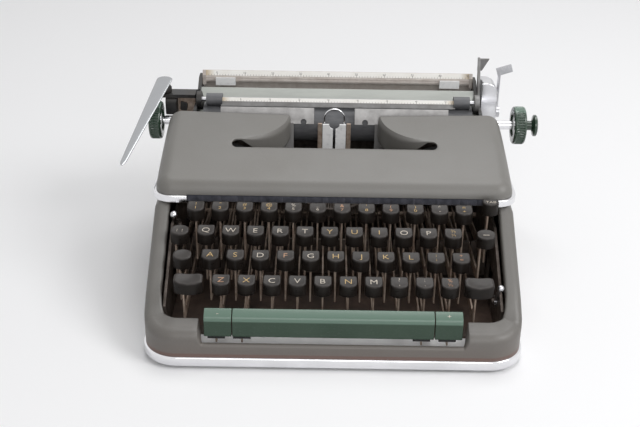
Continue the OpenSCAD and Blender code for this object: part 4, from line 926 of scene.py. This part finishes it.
# Space bar and the two keys beside it
BAR_Y = -CASING_FRONT + 7
BAR_TOP = box_mm("space_bar")[1][2]
BAR_LOW = 24.8
bar_outline = rounded_outline(
    [[BAR_Y + 8, BAR_TOP - 0.3], [BAR_Y + 7, BAR_TOP], [BAR_Y, BAR_TOP - 3.7], [BAR_Y - 1.3, BAR_LOW],
     [BAR_Y + 1.2, BAR_LOW], [BAR_Y + 2.4, BAR_TOP - 5.4], [BAR_Y + 8, BAR_TOP - 2.6]],
    [0.4, 0.4, 2.4, 0.8, 0.8, 1.6, 0.8])
BOSS_Z = (21.5, 38.5)
BOSS_HALF = 6.5
boss_outline = [[BAR_Y + 1.4, BOSS_Z[0]], [BAR_Y + 8, BOSS_Z[0]], [BAR_Y + 8, BOSS_Z[1]],
                [BAR_Y + 2.6, BOSS_Z[1]]]
BAR_LEVER_Y, BAR_LEVER_Z = BAR_Y + 4.7, (22, 35)
# Levers stand at quarters of the key pitch, counted from the number row's first key
KEY_PITCH = 19.05
STATION = KEY_PITCH / 4
FIRST_KEY_X = box_mm("number_row_caps")[0][0] + KEY_W / 2
BAR_LEVERS = {"space_bar": [8.5, 36.5], "tab_clear_key": [4.5], "tab_set_key": [40.5]}
for node, stations in BAR_LEVERS.items():
    low, high = box_mm(node)
    bar = prism(bar_outline, low[0], high[0])
    bevelled(piece(node + "_bar", bar, node, GREEN_BAR, [node], sharp=25), 0.6)
    xs = [FIRST_KEY_X + s * STATION for s in stations]
    levers = [key_lever(x, BAR_LEVER_Y, *BAR_LEVER_Z) for x in xs]
    piece(node + "_levers", join(levers), node, STEEL)
    bosses = [prism(boss_outline, x - BOSS_HALF, x + BOSS_HALF) for x in xs]
    piece(node + "_bosses", join(bosses), node, RUBBER)

# Signs of the end keys, on their sloping faces
SIGN_Y, SIGN_Z = BAR_Y + 3.6, BAR_TOP - 1.8
SIGN_AXES = [(4.5, 0, 0), (0, 3.2, 1.7), (0, 0, 1)]
for node, sign in (("tab_clear_key", "-"), ("tab_set_key", "+")):
    low, high = box_mm(node)
    mark = flat_sign(sign, ((low[0] + high[0]) / 2, SIGN_Y, SIGN_Z), SIGN_AXES)
    lettering(node + "_mark", [mark], node, CREAM_INK)

# Knobs, button and return lever
PLATEN_AXIS = (70.4, 108)
KNOB_EDGE = 1.8
KNOB_SINK = 1.2
KNOB_RIBS = 44
RIB_IN = 1.0
RIB_DEPTHS = {"left_knob": 0.7, "right_knob": 0.9}


def ribbed_knob(x0, x1, radius, depth):
    """Drum with rounded rims and a sunk ring in each face; between the rims the radius falls by
    depth times half of one less the cosine of the angle times the number of ribs."""
    edge, hollow = KNOB_EDGE, radius * 0.55
    turn = np.radians(np.linspace(0, 90, 6))
    near = [(x0 + KNOB_SINK, 0, 0), (x0 + KNOB_SINK, hollow, 0), (x0, radius * 0.62, 0)]
    near += [(x0 + edge * (1 - np.sin(a)), radius - edge * (1 - np.cos(a)), 0) for a in turn[::-1]]
    near += [(x0 + edge + RIB_IN, radius, 1)]
    far = [(x0 + x1 - along, reach, share) for along, reach, share in near[::-1]]
    along, reach, share = np.array(near + far).T
    angle = np.linspace(0, 2 * np.pi, KNOB_RIBS * 8, endpoint=False)[:, None]
    return rings(along, reach - share * depth * (1 - np.cos(KNOB_RIBS * angle)) / 2, angle, PLATEN_AXIS)


for node, depth in RIB_DEPTHS.items():
    low, high = box_mm(node)
    surface = ribbed_knob(low[0], high[0], (high[2] - low[2]) / 2, depth)
    piece(node + "_moulding", surface, "platen", GREEN, [node])

low, high = box_mm("variable_button")
BUTTON_R = (high[2] - low[2]) / 2
STEM_R = 4.2
stem = [(low[0], 0), (low[0], STEM_R), (high[0] - 5, STEM_R), (high[0] - 4, 5.6)]
rim = [(high[0] - 3.4, BUTTON_R - 0.8), (high[0] - 2.8, BUTTON_R), (high[0] - 0.9, BUTTON_R),
       (high[0] - 0.2, BUTTON_R - 0.9), (high[0], BUTTON_R - 2)]
face = [(high[0] - 0.8, BUTTON_R * 0.4), (high[0] - 0.8, 0)]
piece("button_moulding", turned(stem + rim + face, 72, PLATEN_AXIS), "variable_button", GREEN,
      ["variable_button"], sharp=50)

PIVOT = np.array([-150.7, 88.0])
HUB_LOW = 128.0
HUB_TOP = 140.0
HUB_R = 6.5
STUD_R = 3.4
BLADE_LEN = 127
BLADE_BACK = 6.5
BLADE_HALF = 7
BLADE_TIP = 6
BLADE_TIP_HALF = 2.2
BLADE_T = 1.3
BLADE_DROP = 1.8
BLADE_FALL = math.radians(11.9)
BLADE_SWING = math.radians(8.5)


def spun(first, second, angle):
    """Two coordinates turned by an angle."""
    return (first * math.cos(angle) - second * math.sin(angle),
            first * math.sin(angle) + second * math.cos(angle))


def blade_surface():
    """Return lever's blade: a tapering strip with a crowned top and round ends, laid along its own
    axis, then tipped down by the fall and swung out to the left."""
    tip_start = BLADE_TIP - BLADE_LEN
    s = np.concatenate([BLADE_BACK * np.cos(np.linspace(0.05, np.pi / 2, 10)),
                        np.linspace(-4, tip_start, 44),
                        tip_start - (BLADE_TIP - 0.05) * np.sin(np.linspace(0.1, np.pi / 2, 10))])
    taper = np.interp(-s, [0, BLADE_LEN], [BLADE_HALF, BLADE_TIP_HALF])
    tip = np.sqrt(1 - np.clip((tip_start - s) / BLADE_TIP, 0, 1) ** 2)
    tail = np.sqrt(1 - np.clip((s - 1) / (BLADE_BACK - 1), 0, 1) ** 2)
    ends = (tip * tail)[:, None]
    ring = np.radians(np.linspace(0, 360, 28, endpoint=False))
    x = taper[:, None] * ends * power(np.cos(ring), 0.55)
    z = BLADE_T / 2 * power(np.sin(ring), 0.7) * ends - BLADE_DROP
    y, z = spun(s[:, None] + 0 * x, z, BLADE_FALL)
    x, y = spun(x, y, -BLADE_SWING)
    points = np.stack([PIVOT[0] + x, PIVOT[1] + y, HUB_TOP + z], -1)
    return capped(grid(points, False, True), len(ring))


hub = [(HUB_LOW, 0), (HUB_LOW, HUB_R - 0.4), (HUB_LOW + 0.4, HUB_R), (HUB_LOW + 4, HUB_R),
       (HUB_TOP - 3.6, STUD_R), (HUB_TOP - 2.2, STUD_R), (HUB_TOP - 2.2, 0)]
piece("return_blade", blade_surface(), "return_lever", LEVER_CHROME, ["return_lever"], sharp=45)
piece("return_hub", turned(hub, 48, PIVOT, axis=2), "return_lever", BLACK, sharp=45)

# End plates of the carriage, with the platen's bearings and the bracket of the return lever
margin_low, margin_high = box_mm("margin_rail")
MARGIN_Y = 121
BED_Y, BED_Z = 91, box_mm("carriage_bed")[0][2]
FEED_Y, FEED_Z = np.mean(box_mm("feed_rollers"), axis=0)[1:]
BAIL_PIVOT = (84, 117)
ROD_Z = margin_high[2] - 9
REAR_END_Y = MARGIN_Y + 5
END_T = 3
BEARING_R = 13.5
BRACKET_HALF = 7
BRACKET_TOP = HUB_LOW - 0.3
BRACKET_T = 3
end_outline = [[60, 98], [FEED_Y - 6, FEED_Z - 5], [BED_Y, FEED_Z - 5], [BED_Y, BED_Z],
               [REAR_END_Y, BED_Z], [REAR_END_Y, ROD_Z + 4], [MARGIN_Y - 6, ROD_Z + 4],
               [97, 121], [64, 120]]
bearing = arc(PLATEN_AXIS, BEARING_R, 0, 360, 49)[:-1]
end_shapes = []
for x0 in (margin_low[0] - END_T, margin_high[0]):
    end_shapes += [prism(end_outline, x0, x0 + END_T), prism(bearing, x0 + 0.1, x0 + END_T - 0.1)]
left_out = margin_low[0] - END_T
bracket_y = (PIVOT[1] - BRACKET_HALF, PIVOT[1] + BRACKET_HALF)
for x0, z0 in ((PIVOT[0] - BRACKET_HALF, BRACKET_TOP - BRACKET_T), (left_out + 0.1, BAIL_PIVOT[1])):
    end_shapes.append(prism(rectangle(bracket_y, (z0, BRACKET_TOP)), x0, margin_low[0] - 0.1))
piece("end_frames", join(end_shapes), "platen_carriage", BLACK, ["end_plates"])

# Bright cover at the right end
right_out = margin_high[0] + END_T
END_COVER_X, END_COVER_Y, END_COVER_Z = (right_out + 3, right_out + 18), (99, 119), (99, 136)
END_OUTER_R, END_INNER_R = 11, 2
end_front = np.vstack([
    [[END_COVER_X[0], END_COVER_Z[0]], [END_COVER_X[1], END_COVER_Z[0]]],
    arc((END_COVER_X[1] - END_OUTER_R, END_COVER_Z[1] - END_OUTER_R), END_OUTER_R, 0, 90, 16),
    arc((END_COVER_X[0] + END_INNER_R, END_COVER_Z[1] - END_INNER_R), END_INNER_R, 90, 180, 6)])
end_cover = prism(end_front, *END_COVER_Y, axis=1)
bevelled(piece("end_cover", end_cover, "platen_carriage", END_CHROME, sharp=25), 0.9)

# Line-space works under the lever's bracket: a dark block, and a brown plate that carries a dark pawl
WORKS_X, WORKS_Y, WORKS_Z = (-149.5, -139.5), (80, 95), (108, 124.6)
works = prism(rounded_outline(rectangle(WORKS_Y, WORKS_Z), [4, 1, 1, 5]), *WORKS_X)
bevelled(piece("line_space_works", works, "platen_carriage", BLACK), 0.6)
PAWL_PLATE_X, PAWL_PLATE_Y, PAWL_PLATE_Z = (-139.3, left_out + 0.1), (88, 90), (103, 124.6)
plate_outline = rounded_outline(rectangle(PAWL_PLATE_X, PAWL_PLATE_Z), [2, 0.2, 0.2, 0.2])
pawl_plate = prism(plate_outline, *PAWL_PLATE_Y, axis=1)
bevelled(piece("pawl_plate", pawl_plate, "platen_carriage", STEEL), 0.3)
PAWL_T = 1.6
pawl_outline = rounded_outline([[-137.6, 111], [-131.4, 110.4], [-130.6, 117.6], [-136.8, 119.4]],
                               [1.6, 1.2, 1.6, 1.2])
pawl = prism(pawl_outline, PAWL_PLATE_Y[0] - PAWL_T, PAWL_PLATE_Y[0], axis=1)
bevelled(piece("pawl", pawl, "platen_carriage", BLACK), 0.4)

# Paper bail
BAIL_Y, BAIL_Z = np.mean(box_mm("left_bail_roller"), axis=0)[1:]
bail_low, bail_high = box_mm("paper_bail")
BAIL_ARM_T = 4.5
EYE_R = 7
PIVOT_R = 4
BAIL_ROD_R = 2
BAND_UP = np.array([math.cos(math.radians(60)), math.sin(math.radians(60))])
BAND_OUT = np.array([-BAND_UP[1], BAND_UP[0]])
BAND_X = (-98.5, 104.5)
BAND_DROP, BAND_W, BAND_T = 5.9, 7.3, 1.2
STRIP_W, STRIP_T = 3.3, 0.3


def link_outline(first, first_r, second, second_r):
    """Two circles joined by their outer tangents."""
    run = np.array(second) - np.array(first)
    heading = math.degrees(math.atan2(run[1], run[0]))
    meet = math.degrees(math.acos((first_r - second_r) / np.hypot(*run)))
    return np.vstack([arc(first, first_r, heading + meet, heading + 360 - meet, 26),
                      arc(second, second_r, heading - meet, heading + meet, 18)])


def scale_strip(start, along, out, span, width, thickness=STRIP_T):
    """Thin strip laid on a sloping face: start is a corner of the face, along runs up the face."""
    across, through = along * width, out * thickness
    return prism([start, start + across, start + across + through, start + through], *span)


bail_arm = link_outline((BAIL_Y, BAIL_Z), EYE_R, BAIL_PIVOT, PIVOT_R)
left_arm = prism(bail_arm, bail_low[0], bail_low[0] + BAIL_ARM_T)
right_arm = prism(bail_arm, bail_high[0] - BAIL_ARM_T, bail_high[0])
bevelled(piece("left_bail_arm", left_arm, "paper_bail", BLACK, ["paper_bail"]), 0.5)
bevelled(piece("right_bail_arm", right_arm, "paper_bail", RAIL_STEEL), 0.5)
rod_x = (bail_low[0] + 1, bail_high[0] - 1)
rod = [(rod_x[0], 0), (rod_x[0], BAIL_ROD_R), (rod_x[1], BAIL_ROD_R), (rod_x[1], 0)]
piece("bail_rod", turned(rod, 32, (BAIL_Y, BAIL_Z)), "paper_bail", SATIN)
band_start = np.array([BAIL_Y, BAIL_Z]) - BAND_DROP * BAND_UP + BAND_OUT
bail_band = scale_strip(band_start, BAND_UP, BAND_OUT, BAND_X, BAND_W, BAND_T)
piece("bail_band", bail_band, "paper_bail", RAIL_STEEL)


# Scales
def enamelled(name, body, strip, edge_z, tick_h, span):
    """A scale's strip with its own enamel."""
    piece(name, strip, body, scale_enamel(name + "_enamel", edge_z, tick_h, span))


strip_start = band_start + (BAND_W - STRIP_W) * BAND_UP + BAND_T * BAND_OUT
bail_strip = scale_strip(strip_start, BAND_UP, BAND_OUT, BAND_X, STRIP_W)
enamelled("bail_scale", "paper_bail", bail_strip, strip_start[1], 1.0, BAND_X)
SCALE_FOOT = np.array([MARGIN_Y - 3.5, 131.4])
scale_rise = np.array([MARGIN_Y - 1, margin_high[2]]) - SCALE_FOOT
SCALE_W = np.linalg.norm(scale_rise)
SCALE_UP = scale_rise / SCALE_W
SCALE_OUT = np.array([-SCALE_UP[1], SCALE_UP[0]])
SCALE_GAP = 1.4
SCALE_IN = 3.2
scale_start = SCALE_FOOT + SCALE_GAP * SCALE_UP
MARGIN_X = (margin_low[0] + SCALE_IN, margin_high[0] - SCALE_IN)
margin_strip = scale_strip(scale_start, SCALE_UP, SCALE_OUT, MARGIN_X, SCALE_W - SCALE_GAP)
enamelled("margin_scale", "platen_carriage", margin_strip, scale_start[1] + 0.1, 1.2, MARGIN_X)
TEN = 10 * TICK_PITCH
FIRST_TEN = -9.4 - SHIFT[0] - 4 * TEN


def scale_numbers(start, along, out, rise, height, x0, steps):
    """Numbers by tens along a scale, on its sloping face."""
    y, z = start + along * rise + out * (STRIP_T + 0.02)
    axes = [(height, 0, 0), (0, *along * height), (0, *out * 2)]
    return [flat_sign(str(10 * i), (x0 + TEN * i, y, z), axes) for i in range(steps)]


margin_marks = scale_numbers(SCALE_FOOT, SCALE_UP, SCALE_OUT, 4.1, 1.9, FIRST_TEN, 10)
lettering("margin_numbers", margin_marks, "platen_carriage", DARK_INK)
bail_marks = scale_numbers(strip_start, BAND_UP, BAND_OUT, 2.3, 1.3, FIRST_TEN + TEN, 8)
lettering("bail_numbers", bail_marks, "paper_bail", DARK_INK)

# Brown ears beside the type guide
guide_top = box_mm("type_guide")[1][2]
GUIDE_EAR_Y, GUIDE_EAR_Z = (45.2, 46.8), (guide_top - 26, guide_top + 1)
GUIDE_EAR_X = (10.4, 14.2)
ear_face = rectangle(GUIDE_EAR_Y, GUIDE_EAR_Z)
ears = [prism(ear_face, *span) for span in ((-GUIDE_EAR_X[1], -GUIDE_EAR_X[0]), GUIDE_EAR_X)]
bevelled(piece("guide_ears", join(ears), "chassis", STEEL), 0.5)

# Nodes that keep their solid
NODE_FINISH = {
    RUBBER: ["rubber_feet", "type_rest"],
    PLATEN: ["platen_roller", "feed_rollers", "left_bail_roller", "right_bail_roller"],
    DARK_STEEL: ["main_frame", "lever_comb", "type_segment", "carriage_rail", "carriage_truck", "type_bars",
                 "centre_type_bar"],
    STEEL: ["fulcrum_rod", "mainspring_drum", "bottom_row_levers", "home_row_levers", "top_row_levers",
            "number_row_levers"],
    RAIL_PAINT: ["margin_rail"],
    RAIL_STEEL: ["paper_release_lever"],
    DULL_CHROME: ["carriage_release_lever", "ribbon_selector", "touch_lever"],
    PALE_PLATE: ["card_guides"],
    BLACK: ["spool_cups", "carriage_bed", "left_spool", "right_spool"],
    CHROME: ["bell", "platen_shaft", "ribbon_vibrator"],
    # The margin stops are bright plating; the white enamel given to them is a painted reflection of the
    # pale studio
    WHITE: ["type_guide", "left_margin_stop", "right_margin_stop"],
    TABLE: ["paper_table"],
}
for finish, nodes in NODE_FINISH.items():
    for node in nodes:
        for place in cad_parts[node].material_slots:
            place.material = finish

# Studio, in metres
LIGHT_TARGET = Vector((0, 0, 0.08))
FLOOR_HALF = 6
SKY_LIGHT, SKY_SEEN = 0.30, 0.9


def soft_light(name, place, size, power):
    """Round lamp that faces the machine."""
    lamp = bpy.data.lights.new(name, "AREA")
    lamp.shape = "DISK"
    lamp.size = size
    lamp.energy = power
    holder = bpy.data.objects.new(name, lamp)
    holder.location = place
    holder.rotation_euler = (LIGHT_TARGET - Vector(place)).to_track_quat("-Z", "Y").to_euler()
    scene.collection.objects.link(holder)


soft_light("key_light", (1.45, -0.77, 1.42), 1.0, 19)
soft_light("front_light", (0.15, -1.7, 1.05), 1.2, 9)
soft_light("top_light", (0.2, 0.7, 2.1), 1.6, 21)

floor_mesh = bpy.data.meshes.new("floor")
floor_span = (-FLOOR_HALF, FLOOR_HALF)
floor_mesh.from_pydata([(x, y, 0) for x, y in rectangle(floor_span, floor_span)], [], [(0, 1, 2, 3)])
floor_mesh.materials.append(Finish("floor_paper", Base_Color=(0.90, 0.90, 0.91), Roughness=0.9).material)
floor = bpy.data.objects.new("floor", floor_mesh)
scene.collection.objects.link(floor)
floor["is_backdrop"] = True

# The sky lights the machine softly, and the camera and bright metal see it paler
world = bpy.data.worlds.new("studio")
world.use_nodes = True
scene.world = world
tree = world.node_tree
sky = tree.nodes["Background"]
sky.inputs["Color"].default_value = (1, 1, 1, 1)
ray_kind = tree.nodes.new("ShaderNodeLightPath")
seen = tree.nodes.new("ShaderNodeMath")
level = tree.nodes.new("ShaderNodeMapRange")
level.inputs["To Min"].default_value = SKY_LIGHT
level.inputs["To Max"].default_value = SKY_SEEN
tree.links.new(ray_kind.outputs["Is Camera Ray"], seen.inputs[0])
tree.links.new(ray_kind.outputs["Is Glossy Ray"], seen.inputs[1])
tree.links.new(seen.outputs[0], level.inputs["Value"])
tree.links.new(level.outputs["Result"], sky.inputs["Strength"])
scene.view_settings.view_transform = "Standard"

# Camera
ELEVATION = math.radians(27.5)
ROLL = math.radians(0.9)
CAMERA_PLACE = (np.array([-11.1, -794.27, 467.36]) + SHIFT) * MM
back = Vector((0, -math.cos(ELEVATION), math.sin(ELEVATION)))
side, rise = Vector((1, 0, 0)), Vector((0, math.sin(ELEVATION), math.cos(ELEVATION)))
right = math.cos(ROLL) * side + math.sin(ROLL) * rise
up = math.cos(ROLL) * rise - math.sin(ROLL) * side
lens = bpy.data.cameras.new("camera")
lens.sensor_width = 36
lens.lens = 59.49
lens.clip_end = 20
camera = bpy.data.objects.new("camera", lens)
camera.matrix_world = Matrix.Translation(CAMERA_PLACE) @ Matrix((right, up, back)).transposed().to_4x4()
scene.collection.objects.link(camera)
scene.camera = camera

low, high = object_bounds()
